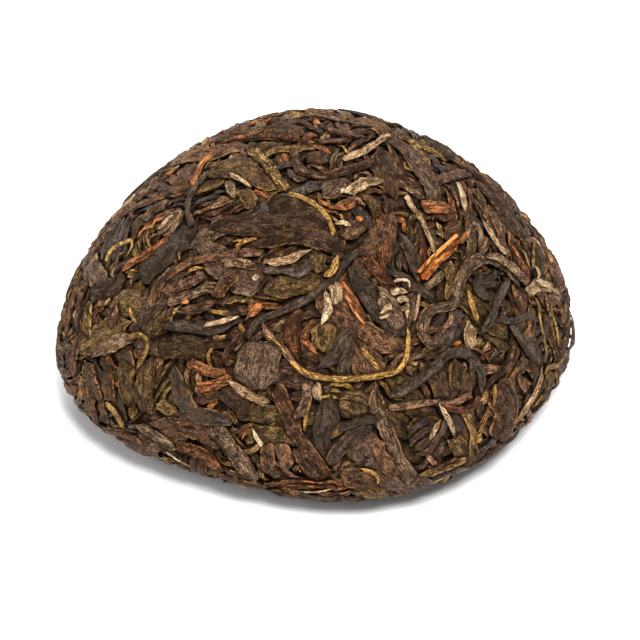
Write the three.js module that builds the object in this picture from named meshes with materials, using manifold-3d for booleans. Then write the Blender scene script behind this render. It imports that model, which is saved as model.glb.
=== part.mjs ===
// A tuocha: raw pu erh tea pressed into a bowl-shaped cake, dome up, resting on its rim ring.
// One solid: a smooth pressed core with the leaf strips, stems and flat leaves that show fused on it.
// Millimetres, +Z up. The origin is under the middle of the cake, on the surface that it rests on,
// and -Y is the side that the leaves were studied from.
import * as THREE from 'three';
import { mergeVertices } from 'three/addons/utils/BufferGeometryUtils.js';
import Module from 'manifold-3d';

// The pressed form
const HEIGHT = 46.2;
const WAIST_RADIUS = 41.5;
const WAIST_HEIGHT = 8;
const RING_OUTER_RADIUS = 28.7;
const RING_INNER_RADIUS = 25.5;
const HOLLOW_DEPTH = 19;
const CROWN_POWER = 1.71; // 2 is an ellipse, and less is nearer to a cone
const RIM_POWER = 1.84;
// The plan isn't round: waves round the cake, their share of the radius, and where the first crest lies
const PLAN_WAVES = [
  { waves: 2, share: 0.005, crest: 0 },
  { waves: 3, share: 0.011, crest: 57 },
  { waves: 4, share: 0.022, crest: 15 },
  { waves: 5, share: 0.007, crest: 0 },
];

// The core under the leaves
const CORE_DEPTH = 1.25;
const CORE_SIDES = 28;
const CORE_RINGS = { crown: 7, rim: 3, hollow: 4 };
const RING_FADE = 3; // the core comes out to the face over this distance from the ring that it rests on

// The leaves
const LEAF_BOTTOM_DEPTH = 2.6; // under the pressed face, and so inside the core
const LEAF_END_DEPTH = 1.7;
const TOP_SHARES = { strip: 0.45, flat: 0.8 }; // of the width, across the leaf's flat top
const STRIP_WIDTH = 2; // a strip is rolled round at this width and narrower
const FLAT_WIDTH = 5; // a leaf lies flat at this width and wider
const LEAST_LEAF_WIDTH = 1.2;
const LEAF_STATION = 8; // length of leaf for each step along it
const LEAF_STATIONS = { fewest: 3, most: 12 };
const TIP_LENGTH = 0.35; // of the leaf's width, over which its end slopes down
const TIP_WIDTH = 0.7; // of the full width, at the ends
const HIGHEST_TOP = 0.1; // over the pressed face
const RING_COVER = 0.15; // every leaf stays this much over the surface that the cake rests on
const LAYER_DEPTH = 0.32; // a leaf lies this much under the one that crosses it
const MOST_LAYERS = 3;
const CROSSING_SHARE = 0.4; // of two leaves' widths, where their middle lines count as crossing
const SCATTERED = { sides: 86, hollow: 12 };
const SKETCHED_SIDE = -6; // further forward, only every other scattered leaf is kept
const SCATTER_LENGTHS = { short: 12, long: 22 };
const SCATTER_WIDTHS = { narrow: 3, wide: 5.5 };
const SCATTER_SEED = 4067;
const LEAST_HOLLOW_RADIUS = 8; // no leaf's middle is nearer to the axis in the hollow

// The front leaves were sketched on a reference picture, in its pixels, and are cast onto the form
// from the point that it was taken from.
const PIXELS_PER_MM = 6.2;
const COVERED_WIDTH = 1.35; // a leaf's own width, as a share of the width that shows
const SKETCH_CENTRE = [317.3, 284.6];
const SKETCH_HEIGHT = 18; // of the point on the axis that the picture's centre looks at
const VIEW_DISTANCE = 480;
const VIEW_ELEVATION = THREE.MathUtils.degToRad(32);

// Each leaf or stem that shows in front, from the lowest to the highest: its name, its width and
// the points that its middle line passes, all in pixels of the picture.
const SHOWN = [
  ['brown flat leaf, right shoulder', 34, [482, 178, 505, 205, 522, 235]],
  ['brown flat leaf, right foot', 36, [500, 385, 508, 412, 500, 440]],
  ['olive flat leaf, left shoulder', 28, [205, 172, 232, 166, 258, 172]],
  ['dark leaf, crown', 24, [268, 202, 298, 210, 324, 224]],
  ['broad brown leaf', 26, [205, 226, 250, 224, 300, 228, 338, 240]],
  ['black shoulder leaf', 26, [384, 146, 386, 172, 396, 196]],
  ['grey fuzzy leaf', 22, [352, 190, 340, 184, 322, 190]],
  ['upright brown leaf 1', 18, [84, 362, 88, 380, 93, 400]],
  ['upright brown leaf 2', 13, [104, 366, 106, 382, 108, 400]],
  ['upright olive leaf', 18, [124, 362, 124, 382, 128, 402]],
  ['round-ended brown leaf', 20, [150, 366, 146, 388, 145, 410]],
  ['olive mass, left', 22, [80, 352, 96, 336, 118, 326]],
  ['olive thumb leaf', 13, [86, 300, 84, 318, 84, 336]],
  ['oval olive leaf', 14, [113, 298, 108, 314, 105, 330]],
  ['black patch', 19, [88, 292, 104, 288, 122, 282]],
  ['olive leaf, centre', 24, [264, 292, 290, 284, 318, 274]],
  ['grey olive leaf, centre', 16, [318, 248, 318, 258, 316, 269]],
  ['russet foot leaf 1', 14, [267, 446, 267, 460, 269, 474]],
  ['russet foot leaf 2', 13, [281, 446, 285, 460, 288, 474]],
  ['brown foot leaf', 15, [298, 452, 306, 465, 318, 480]],
  ['russet foot leaf 3', 24, [342, 476, 356, 480, 374, 484]],
  ['rim leaf, left', 11, [100, 430, 120, 436, 142, 446]],
  ['rim leaf, grey', 13, [134, 426, 152, 436, 172, 450]],
  ['rim leaf, russet', 13, [176, 448, 196, 453, 222, 474]],
  ['teal grey leaf', 17, [208, 424, 225, 445, 240, 466, 252, 481]],
  ['dark diamond leaf', 18, [220, 390, 232, 400, 246, 410]],
  ['tea olive leaf', 25, [340, 402, 356, 406, 374, 412]],
  ['edge strip, left 1', 7, [64, 338, 68, 312, 78, 280, 92, 252, 112, 224]],
  ['edge strip, left 2', 8, [100, 238, 116, 217, 136, 197, 158, 182]],
  ['edge strip, left 3', 9, [74, 330, 76, 306, 86, 278]],
  ['edge strip, crown left', 8, [200, 150, 222, 142, 250, 130, 278, 122]],
  ['edge strip, crown', 7, [288, 117, 312, 113, 342, 118, 372, 124]],
  ['edge strip, crown 2', 8, [318, 124, 342, 131, 368, 135]],
  ['edge strip, right 1', 9, [524, 216, 542, 242, 555, 272, 564, 305]],
  ['edge strip, right 2', 9, [560, 300, 568, 328, 568, 355]],
  ['edge leaf, crown right', 13, [400, 134, 420, 142, 446, 156]],
  ['edge leaf, right shoulder', 11, [455, 158, 474, 170, 496, 188]],
  ['dark strip under twig', 12, [400, 232, 412, 252, 418, 272]],
  ['russet oval leaf', 13, [390, 238, 386, 252, 386, 266]],
  ['russet side strip', 10, [364, 254, 378, 270, 396, 284]],
  ['black folded strip', 20, [348, 262, 364, 286, 384, 310, 402, 334]],
  ['red brown leaf', 19, [360, 324, 378, 338, 400, 350]],
  ['russet crescent', 12, [302, 308, 292, 324, 291, 342, 298, 358]],
  ['russet crescent, inner', 7, [314, 318, 305, 333, 303, 350]],
  ['round olive leaf', 25, [324, 322, 324, 336, 324, 350]],
  ['purple leaf, left', 13, [152, 196, 166, 190, 184, 189]],
  ['grey rolled leaf, left', 12, [142, 220, 150, 209, 164, 201]],
  ['orange brown leaf', 11, [164, 234, 150, 248, 136, 257, 121, 265]],
  ['black paddle leaf', 25, [196, 216, 180, 236, 162, 256, 138, 275]],
  ['dark stalk', 7, [207, 171, 196, 182, 188, 196, 186, 210, 191, 224]],
  ['rolled strip 1', 9, [160, 292, 180, 284, 204, 276]],
  ['rolled strip 2', 10, [166, 300, 186, 294, 214, 284]],
  ['rolled strip 3', 11, [176, 310, 196, 308, 216, 300]],
  ['dark belly strip', 13, [156, 326, 184, 325, 214, 326, 238, 314]],
  ['brown lobe', 16, [214, 298, 222, 284, 236, 272]],
  ['olive black leaf', 24, [156, 350, 180, 346, 204, 352]],
  ['russet rolled strip', 9, [148, 304, 160, 278, 182, 263, 206, 256, 234, 252, 262, 248]],
  ['grey olive strip', 9, [220, 262, 240, 262, 258, 266]],
  ['blue black strip', 9, [262, 268, 282, 268, 300, 272, 310, 262]],
  ['pale tan strip', 9, [264, 262, 286, 259, 309, 248]],
  ['brown tongue leaf', 15, [256, 244, 300, 236, 344, 248]],
  ['long dark strip', 7, [366, 248, 350, 256, 336, 275, 312, 295, 284, 309, 256, 322, 246, 338]],
  ['grey round leaf', 44, [262, 342, 262, 364, 261, 386]],
  ['boomerang leaf', 15, [172, 366, 179, 394, 194, 414, 228, 420]],
  ['orange bark strip', 10, [186, 362, 204, 370, 224, 376]],
  ['orange bark strip 2', 9, [194, 388, 212, 385, 230, 378]],
  ['tan stalk', 8, [226, 381, 246, 394, 266, 404]],
  ['dark russet strip', 14, [276, 386, 286, 410, 296, 436, 314, 460, 334, 481]],
  ['grey brown strip', 9, [307, 381, 306, 400, 298, 420]],
  ['black teardrop bud', 20, [330, 396, 327, 418, 322, 438, 324, 456]],
  ['dark foot strip', 12, [376, 424, 352, 438, 330, 464]],
  ['long grey strip', 14, [376, 384, 378, 406, 388, 432, 398, 458, 414, 482]],
  ['tan crumpled leaf', 12, [379, 438, 380, 454, 396, 478]],
  ['blue black bud', 16, [356, 326, 346, 338, 338, 354, 320, 368]],
  ['blue black tail', 12, [350, 352, 344, 366, 342, 380]],
  ['orange fold', 9, [340, 282, 352, 300, 366, 324]],
  ['pale leaf stalk', 7, [328, 290, 329, 306, 322, 324]],
  ['hooked leaf', 15, [90, 354, 104, 346, 122, 339]],
  ['hooked stalk', 6, [124, 337, 140, 335, 145, 350, 137, 368]],
  ['crown olive leaf', 12, [250, 147, 266, 160, 284, 184]],
  ['crown dark strip', 9, [292, 148, 300, 167, 322, 174, 350, 167, 376, 160]],
  ['crown gold stem', 6, [283, 190, 306, 198, 326, 210, 335, 230]],
  ['crown tan strip', 6, [344, 158, 366, 148, 392, 132]],
  ['orange scrap', 10, [334, 206, 346, 203, 359, 200]],
  ['pale patch leaf', 12, [346, 190, 362, 182, 378, 176]],
  ['long pale strip', 7, [408, 194, 418, 216, 436, 250]],
  ['pale lens tip', 8, [460, 180, 464, 194, 468, 209]],
  ['amber leaf', 17, [424, 204, 438, 205, 452, 207]],
  ['pale stalk, right', 7, [487, 221, 496, 236, 504, 250]],
  ['dark collar strip', 9, [404, 284, 424, 290, 440, 303]],
  ['grey olive blade', 10, [452, 260, 452, 278, 451, 299]],
  ['blue black crescent', 12, [484, 272, 482, 288, 496, 299]],
  ['dark branch', 10, [512, 280, 500, 300, 494, 318, 482, 334]],
  ['slate strip', 13, [514, 318, 526, 340, 542, 364]],
  ['olive bundle leaf', 13, [548, 294, 556, 318, 558, 344]],
  ['loop strip', 11, [444, 334, 434, 344, 424, 332, 430, 312, 456, 302, 463, 278, 480, 258, 504, 262, 524, 282]],
  ['loop outer strip', 9, [494, 249, 514, 258, 534, 284]],
  ['pale cap leaf', 11, [531, 288, 546, 284, 562, 302]],
  ['olive stem, right', 5, [540, 298, 543, 322, 549, 358]],
  ['gold blade', 7, [470, 288, 474, 304, 480, 320]],
  ['tan crumple', 14, [474, 322, 472, 334, 474, 346]],
  ['lower loop strip', 10, [392, 398, 416, 383, 438, 366, 450, 354, 468, 354, 482, 370, 484, 394]],
  ['dark olive lens', 18, [460, 362, 458, 376, 459, 390]],
  ['brown cross strip', 8, [392, 408, 418, 404, 448, 402, 478, 386]],
  ['olive rim blade', 16, [468, 412, 476, 434, 476, 456]],
  ['dark pit ring', 6, [446, 412, 449, 430, 440, 447, 426, 455]],
  ['olive foot strip', 9, [422, 477, 446, 472, 468, 461]],
  ['right foot stems', 8, [547, 368, 540, 388, 518, 424]],
  ['orange twig', 13, [424, 276, 445, 256, 464, 238]],
  ['golden stem', 6, [263, 326, 280, 344, 296, 364, 312, 375, 346, 377, 380, 376, 402, 368, 407, 342]],
];

const OUTLINE_STEPS = { crown: 48, rim: 24, hollow: 24 };

// The outline of half the cake in section, from the crown over the waist and ring to the hollow's top
function halfOutline() {
  const points = [];
  for (let i = 0; i <= OUTLINE_STEPS.crown; i++) {
    const a = (1 - i / OUTLINE_STEPS.crown) * Math.PI / 2;
    points.push([
      WAIST_RADIUS * Math.cos(a) ** (2 / CROWN_POWER),
      WAIST_HEIGHT + (HEIGHT - WAIST_HEIGHT) * Math.sin(a) ** (2 / CROWN_POWER),
    ]);
  }
  points[0][0] = 0;
  for (let i = 1; i <= OUTLINE_STEPS.rim; i++) {
    const a = (i / OUTLINE_STEPS.rim) * Math.PI / 2;
    points.push([
      RING_OUTER_RADIUS + (WAIST_RADIUS - RING_OUTER_RADIUS) * Math.cos(a) ** (2 / RIM_POWER),
      WAIST_HEIGHT - WAIST_HEIGHT * Math.sin(a) ** (2 / RIM_POWER),
    ]);
  }
  for (let i = 0; i <= OUTLINE_STEPS.hollow; i++) {
    const r = RING_INNER_RADIUS * (1 - i / OUTLINE_STEPS.hollow);
    points.push([r, HOLLOW_DEPTH * (1 + Math.cos(Math.PI * r / RING_INNER_RADIUS)) / 2]);
  }
  return points;
}

const OUTLINE = halfOutline();
// The distance along the outline from the crown, which the script calls reach, at each of its points
const REACHES = OUTLINE.reduce((sums, p, i) => {
  sums.push(i ? sums[i - 1] + Math.hypot(p[0] - OUTLINE[i - 1][0], p[1] - OUTLINE[i - 1][1]) : 0);
  return sums;
}, []);
const WAIST_REACH = REACHES[OUTLINE_STEPS.crown];
const RING_REACH = REACHES[OUTLINE_STEPS.crown + OUTLINE_STEPS.rim];
const HOLLOW_REACH = REACHES[OUTLINE_STEPS.crown + OUTLINE_STEPS.rim + 1];
const END_REACH = REACHES[REACHES.length - 1];

function planFactor(bearing) {
  const wave = ({ waves, share, crest }) => share * Math.cos(waves * (bearing - THREE.MathUtils.degToRad(crest)));
  return PLAN_WAVES.reduce((sum, w) => sum + wave(w), 1);
}

// The place on the pressed face that is nearest to a point, its outward direction, and how far
// outside the face the point is
function nearestOnFace(point) {
  const bearing = Math.atan2(point.y, point.x);
  const factor = planFactor(bearing);
  const r = Math.hypot(point.x, point.y) / factor;
  let best = { gap: Infinity };
  for (let i = 1; i < OUTLINE.length; i++) {
    const [ar, az] = OUTLINE[i - 1];
    const dr = OUTLINE[i][0] - ar;
    const dz = OUTLINE[i][1] - az;
    const length = Math.hypot(dr, dz);
    const along = THREE.MathUtils.clamp(((r - ar) * dr + (point.z - az) * dz) / (length * length), 0, 1);
    const fr = ar + along * dr;
    const fz = az + along * dz;
    const gap = Math.hypot(r - fr, point.z - fz);
    if (gap < best.gap) {
      const nr = -dz / length;
      const nz = dr / length;
      best = { gap, fr, fz, nr, nz, outside: (r - fr) * nr + (point.z - fz) * nz };
    }
  }
  const [c, s] = [Math.cos(bearing), Math.sin(bearing)];
  return {
    at: new THREE.Vector3(best.fr * factor * c, best.fr * factor * s, best.fz),
    out: new THREE.Vector3(best.nr * c, best.nr * s, best.nz),
    outside: Math.sign(best.outside) * best.gap,
  };
}

// The place on the face at a reach from the crown and a bearing round the axis
function faceAt(reach, bearing) {
  const i = Math.max(1, REACHES.findIndex((sum) => sum >= reach));
  const share = (reach - REACHES[i - 1]) / (REACHES[i] - REACHES[i - 1]);
  const r = THREE.MathUtils.lerp(OUTLINE[i - 1][0], OUTLINE[i][0], share) * planFactor(bearing);
  const z = THREE.MathUtils.lerp(OUTLINE[i - 1][1], OUTLINE[i][1], share);
  return new THREE.Vector3(r * Math.cos(bearing), r * Math.sin(bearing), z);
}

// Casts a point of the sketch onto the front of the face
function castOnFace(px, py) {
  const back = new THREE.Vector3(0, -Math.cos(VIEW_ELEVATION), Math.sin(VIEW_ELEVATION));
  const up = new THREE.Vector3(0, Math.sin(VIEW_ELEVATION), Math.cos(VIEW_ELEVATION));
  const target = new THREE.Vector3(0, 0, SKETCH_HEIGHT);
  const eye = target.clone().addScaledVector(back, VIEW_DISTANCE);
  const aim = target.clone()
    .addScaledVector(up, (SKETCH_CENTRE[1] - py) / PIXELS_PER_MM);
  aim.x += (px - SKETCH_CENTRE[0]) / PIXELS_PER_MM;
  const ray = aim.sub(eye).normalize();
  const point = eye.clone().addScaledVector(ray, VIEW_DISTANCE - HEIGHT - WAIST_RADIUS);
  for (let step = 0; step < 60; step++) {
    const { outside } = nearestOnFace(point);
    if (outside < 0.02) break;
    point.addScaledVector(ray, outside * 0.8);
    if (point.distanceTo(eye) > VIEW_DISTANCE + WAIST_RADIUS) break;
  }
  return nearestOnFace(point).at;
}

// A geometry with its seams and poles joined, so that it is one closed surface
function closed(geometry) {
  for (const name of ['normal', 'uv']) geometry.deleteAttribute(name);
  return mergeVertices(geometry, 1e-4);
}

const asSolid = (wasm, geometry) => new wasm.Manifold(new wasm.Mesh({
  numProp: 3,
  vertProperties: geometry.attributes.position.array,
  triVerts: new Uint32Array(geometry.index.array),
}));

function asGeometry(solid) {
  const mesh = solid.getMesh();
  const geometry = new THREE.BufferGeometry();
  geometry.setAttribute('position', new THREE.BufferAttribute(mesh.vertProperties, 3));
  geometry.setIndex(new THREE.BufferAttribute(mesh.triVerts, 1));
  return geometry;
}

// A void that the fusing seals is filled by keeping the outermost shell alone
function outermostShell(solid) {
  return solid.decompose().reduce((most, shell) => (shell.volume() > most.volume() ? shell : most));
}

// A leaf pressed into the face: a long four-sided bead with a flat top, following its route
function leafGeometry({ curve, width }, cover) {
  const length = curve.getLength();
  const wanted = Math.round(length / LEAF_STATION) + 2;
  const stations = THREE.MathUtils.clamp(wanted, LEAF_STATIONS.fewest, LEAF_STATIONS.most);
  const bead = closed(new THREE.SphereGeometry(1, 4, stations, Math.PI / 4));
  const place = bead.attributes.position;
  const flatness = THREE.MathUtils.smoothstep(width, STRIP_WIDTH, FLAT_WIDTH);
  const topShare = THREE.MathUtils.lerp(TOP_SHARES.strip, TOP_SHARES.flat, flatness);
  const tip = Math.min(width * TIP_LENGTH / length, 0.3);
  for (let i = 0; i < place.count; i++) {
    const station = Math.round(Math.acos(THREE.MathUtils.clamp(place.getY(i), -1, 1)) / Math.PI * stations);
    const isEnd = station === 0 || station === stations;
    const along = isEnd ? station / stations : tip + (1 - 2 * tip) * (station - 1) / (stations - 2);
    const full = isEnd ? 0 : TIP_WIDTH + (1 - TIP_WIDTH) * Math.sin(Math.PI * along);
    const isTop = place.getZ(i) > 0;
    const { at, out } = nearestOnFace(curve.getPointAt(along));
    const side = out.clone().cross(curve.getTangentAt(along)).normalize();
    const across = Math.sign(place.getX(i)) * width / 2 * full * (isTop ? topShare : 1);
    const top = cover * LAYER_DEPTH - HIGHEST_TOP;
    const deep = isEnd ? LEAF_END_DEPTH : isTop ? top : LEAF_BOTTOM_DEPTH;
    // A wide leaf bends round the form, so each point hangs from the face beside the middle line
    const beside = nearestOnFace(at.clone().addScaledVector(side, across));
    const point = beside.at.addScaledVector(beside.out, -deep);
    place.setXYZ(i, point.x, point.y, Math.max(point.z, RING_COVER));
  }
  return bead;
}

function makeLeaf(route, width) {
  const curve = new THREE.CatmullRomCurve3(route, false, 'centripetal');
  return { curve, width: Math.max(width, LEAST_LEAF_WIDTH), marks: curve.getSpacedPoints(10) };
}

// How many layers of leaves lie over each leaf, where the later ones in the list lie over the earlier
function coverOf(leaves) {
  const cover = leaves.map(() => 0);
  for (let i = leaves.length - 2; i >= 0; i--) {
    for (let j = i + 1; j < leaves.length; j++) {
      const near = (leaves[i].width + leaves[j].width) * CROSSING_SHARE;
      const crosses = leaves[i].marks.some((a) => leaves[j].marks.some((b) => a.distanceTo(b) < near));
      if (crosses) cover[i] = Math.min(Math.max(cover[i], cover[j] + 1), MOST_LAYERS);
    }
  }
  return cover;
}

// A short seeded list of random numbers that is the same in every run
function dice(seed) {
  let state = seed;
  return (low, high) => {
    state = state * 48271 % 2147483647;
    return low + (high - low) * state / 2147483647;
  };
}

// The two shares of the whole, each far from any fraction, whose multiples fill a square evenly
const EVEN_STEPS = { reach: 0.7548776662, bearing: 0.569840291 };

// The leaves that the sketch leaves out, spread evenly by area and lying any way round
function scatteredLeaves(count, nearReach, farReach, draw) {
  const steps = 60;
  const areas = [0];
  for (let i = 0; i < steps; i++) {
    const reach = nearReach + (farReach - nearReach) * (i + 0.5) / steps;
    const at = faceAt(reach, 0);
    areas.push(areas[i] + Math.hypot(at.x, at.y));
  }
  const leaves = [];
  for (let n = 0; n < count; n++) {
    const bearing = n * EVEN_STEPS.bearing * 2 * Math.PI;
    const share = ((0.5 + n * EVEN_STEPS.reach) % 1) * areas[steps];
    const i = areas.findIndex((sum) => sum > share) - 1;
    const reach = nearReach + (farReach - nearReach) * (i + (share - areas[i]) / (areas[i + 1] - areas[i])) / steps;
    const middle = faceAt(reach, bearing);
    const heading = draw(0, Math.PI);
    const length = draw(SCATTER_LENGTHS.short, SCATTER_LENGTHS.long);
    const width = draw(SCATTER_WIDTHS.narrow, SCATTER_WIDTHS.wide);
    const bend = draw(-0.5, 0.5);
    if (middle.y < SKETCHED_SIDE && n % 2) continue;
    const walk = (turn) => {
      const points = [];
      let at = middle.clone();
      let ahead = heading + turn;
      for (let k = 0; k < 2; k++) {
        const { out } = nearestOnFace(at);
        const east = new THREE.Vector3(-at.y, at.x, 0).normalize();
        const down = east.clone().cross(out);
        at = at.clone()
          .addScaledVector(east, Math.cos(ahead) * length / 4)
          .addScaledVector(down, Math.sin(ahead) * length / 4);
        at = nearestOnFace(at).at;
        points.push(at);
        ahead += turn ? -bend : bend;
      }
      return points;
    };
    leaves.push(makeLeaf([...walk(Math.PI).reverse(), middle, ...walk(0)], width));
  }
  return leaves;
}

// The core: the pressed form turned on a lathe, waved in plan, and lying a little under the face
// everywhere but at the ring
function coreGeometry() {
  const reaches = [];
  const spans = [
    [0, WAIST_REACH, CORE_RINGS.crown],
    [WAIST_REACH, RING_REACH, CORE_RINGS.rim],
    [HOLLOW_REACH, END_REACH, CORE_RINGS.hollow],
  ];
  for (const [from, to, count] of spans) {
    for (let i = from === WAIST_REACH ? 1 : 0; i <= count; i++) reaches.push(from + (to - from) * i / count);
  }
  const profile = reaches.map((reach) => {
    const at = faceAt(Math.max(reach, 1e-6), 0);
    const { out } = nearestOnFace(at);
    const toRing = Math.max(0, RING_REACH - reach, reach - HOLLOW_REACH);
    const depth = CORE_DEPTH * THREE.MathUtils.smoothstep(toRing, 0, RING_FADE);
    return [Math.hypot(at.x, at.y) / planFactor(0) - out.x * depth, at.z - out.z * depth];
  });
  profile[0][0] = 0;
  profile[profile.length - 1][0] = 0;
  // LatheGeometry turns about Y and wants the section from the bottom up
  const section = profile.map(([r, z]) => new THREE.Vector2(Math.max(r, 0), z)).reverse();
  const geometry = closed(new THREE.LatheGeometry(section, CORE_SIDES));
  geometry.rotateX(Math.PI / 2);
  const place = geometry.attributes.position;
  for (let i = 0; i < place.count; i++) {
    const factor = planFactor(Math.atan2(place.getY(i), place.getX(i)));
    place.setXY(i, place.getX(i) * factor, place.getY(i) * factor);
  }
  return geometry;
}

async function teaCake() {
  const wasm = await Module();
  wasm.setup();
  const draw = dice(SCATTER_SEED);
  const shown = SHOWN.map(([, pixels, points]) => {
    const route = [];
    for (let k = 0; k < points.length; k += 2) route.push(castOnFace(points[k], points[k + 1]));
    return makeLeaf(route, COVERED_WIDTH * pixels / PIXELS_PER_MM);
  });
  const leaves = [
    ...scatteredLeaves(SCATTERED.sides, 0, RING_REACH, draw),
    ...scatteredLeaves(SCATTERED.hollow, HOLLOW_REACH, END_REACH - LEAST_HOLLOW_RADIUS, draw),
    ...shown,
  ];
  const cover = coverOf(leaves);
  const solids = [coreGeometry(), ...leaves.map((leaf, i) => leafGeometry(leaf, cover[i]))]
    .map((geometry) => asSolid(wasm, geometry));
  let cake = outermostShell(wasm.Manifold.union(solids));
  // Corners that lie closer than a thousandth are joined, which can seal a last sliver of a void
  cake = outermostShell(asSolid(wasm, mergeVertices(asGeometry(cake), 1e-3)));
  const geometry = asGeometry(cake);
  geometry.computeVertexNormals();
  return geometry;
}

const pressedTea = new THREE.MeshStandardMaterial({ color: 0x5b4533, roughness: 0.75, metalness: 0 });
const cake = new THREE.Mesh(await teaCake(), pressedTea);
cake.name = 'tea_cake';

const tuocha = new THREE.Group();
tuocha.add(cake);

export default tuocha;
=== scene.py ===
"""A bowl-shaped cake of pressed raw tea, laid leaf by leaf over its own core.

Leaves are laid from the top layer down. Each one lies under what already covers it, so the upper ones
are flush with the pressed form and the lower ones dip beneath them. Lengths inside are in millimetres.
"""

import functools
import math
from typing import NamedTuple

import bpy
import numpy as np
from bpy.props import FloatProperty, FloatVectorProperty, IntProperty, PointerProperty
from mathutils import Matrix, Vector


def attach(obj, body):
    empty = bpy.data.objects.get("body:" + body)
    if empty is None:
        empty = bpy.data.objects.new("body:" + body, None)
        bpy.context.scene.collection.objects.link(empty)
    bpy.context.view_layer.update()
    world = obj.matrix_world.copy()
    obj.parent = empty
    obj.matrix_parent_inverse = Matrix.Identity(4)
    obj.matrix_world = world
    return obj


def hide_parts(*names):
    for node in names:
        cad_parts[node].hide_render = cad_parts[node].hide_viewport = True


bl_info = {
    "name": "Pressed tea bowl",
    "version": (1, 0, 0),
    "blender": (4, 5, 0),
    "location": "3D View > Sidebar > Tea",
    "description": "Makes a bowl-shaped cake of pressed raw tea and the stage that it stands on",
    "category": "Add Mesh",
}

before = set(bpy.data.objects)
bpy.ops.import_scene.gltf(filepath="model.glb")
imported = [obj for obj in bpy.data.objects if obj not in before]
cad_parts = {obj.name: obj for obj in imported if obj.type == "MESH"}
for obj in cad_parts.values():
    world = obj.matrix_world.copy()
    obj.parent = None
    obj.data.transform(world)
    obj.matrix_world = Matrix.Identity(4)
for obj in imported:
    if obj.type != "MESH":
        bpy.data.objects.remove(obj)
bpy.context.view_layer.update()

NODE = "tea_cake"
BODY = "root"
MM = 0.001

# The plan isn't round: waves round the cake, their share of the radius, and where the first crest lies
PLAN_WAVES = ((2, 0.005, 0), (3, 0.011, 57), (4, 0.022, 15), (5, 0.007, 0))
OUTLINE_STEPS = {"crown": 48, "rim": 24, "hollow": 24}

# The front leaves were sketched on a picture, in its pixels, and are cast onto the form from the
# point that it was taken from.
PIXELS_PER_MM = 6.2
SKETCH_CENTRE = (317.3, 284.6)
SKETCH_HEIGHT = 18
VIEW_DISTANCE = 480
VIEW_ELEVATION = math.radians(32)

SKETCHED_WIDER = {"gold": 0.95, "others": 1.08}  # leaves are this many times as wide as sketched
SKETCHED_STEP = 0.28
SKETCHED_STIFF = 0.3
SKETCHED_VARY = 0.35

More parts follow.
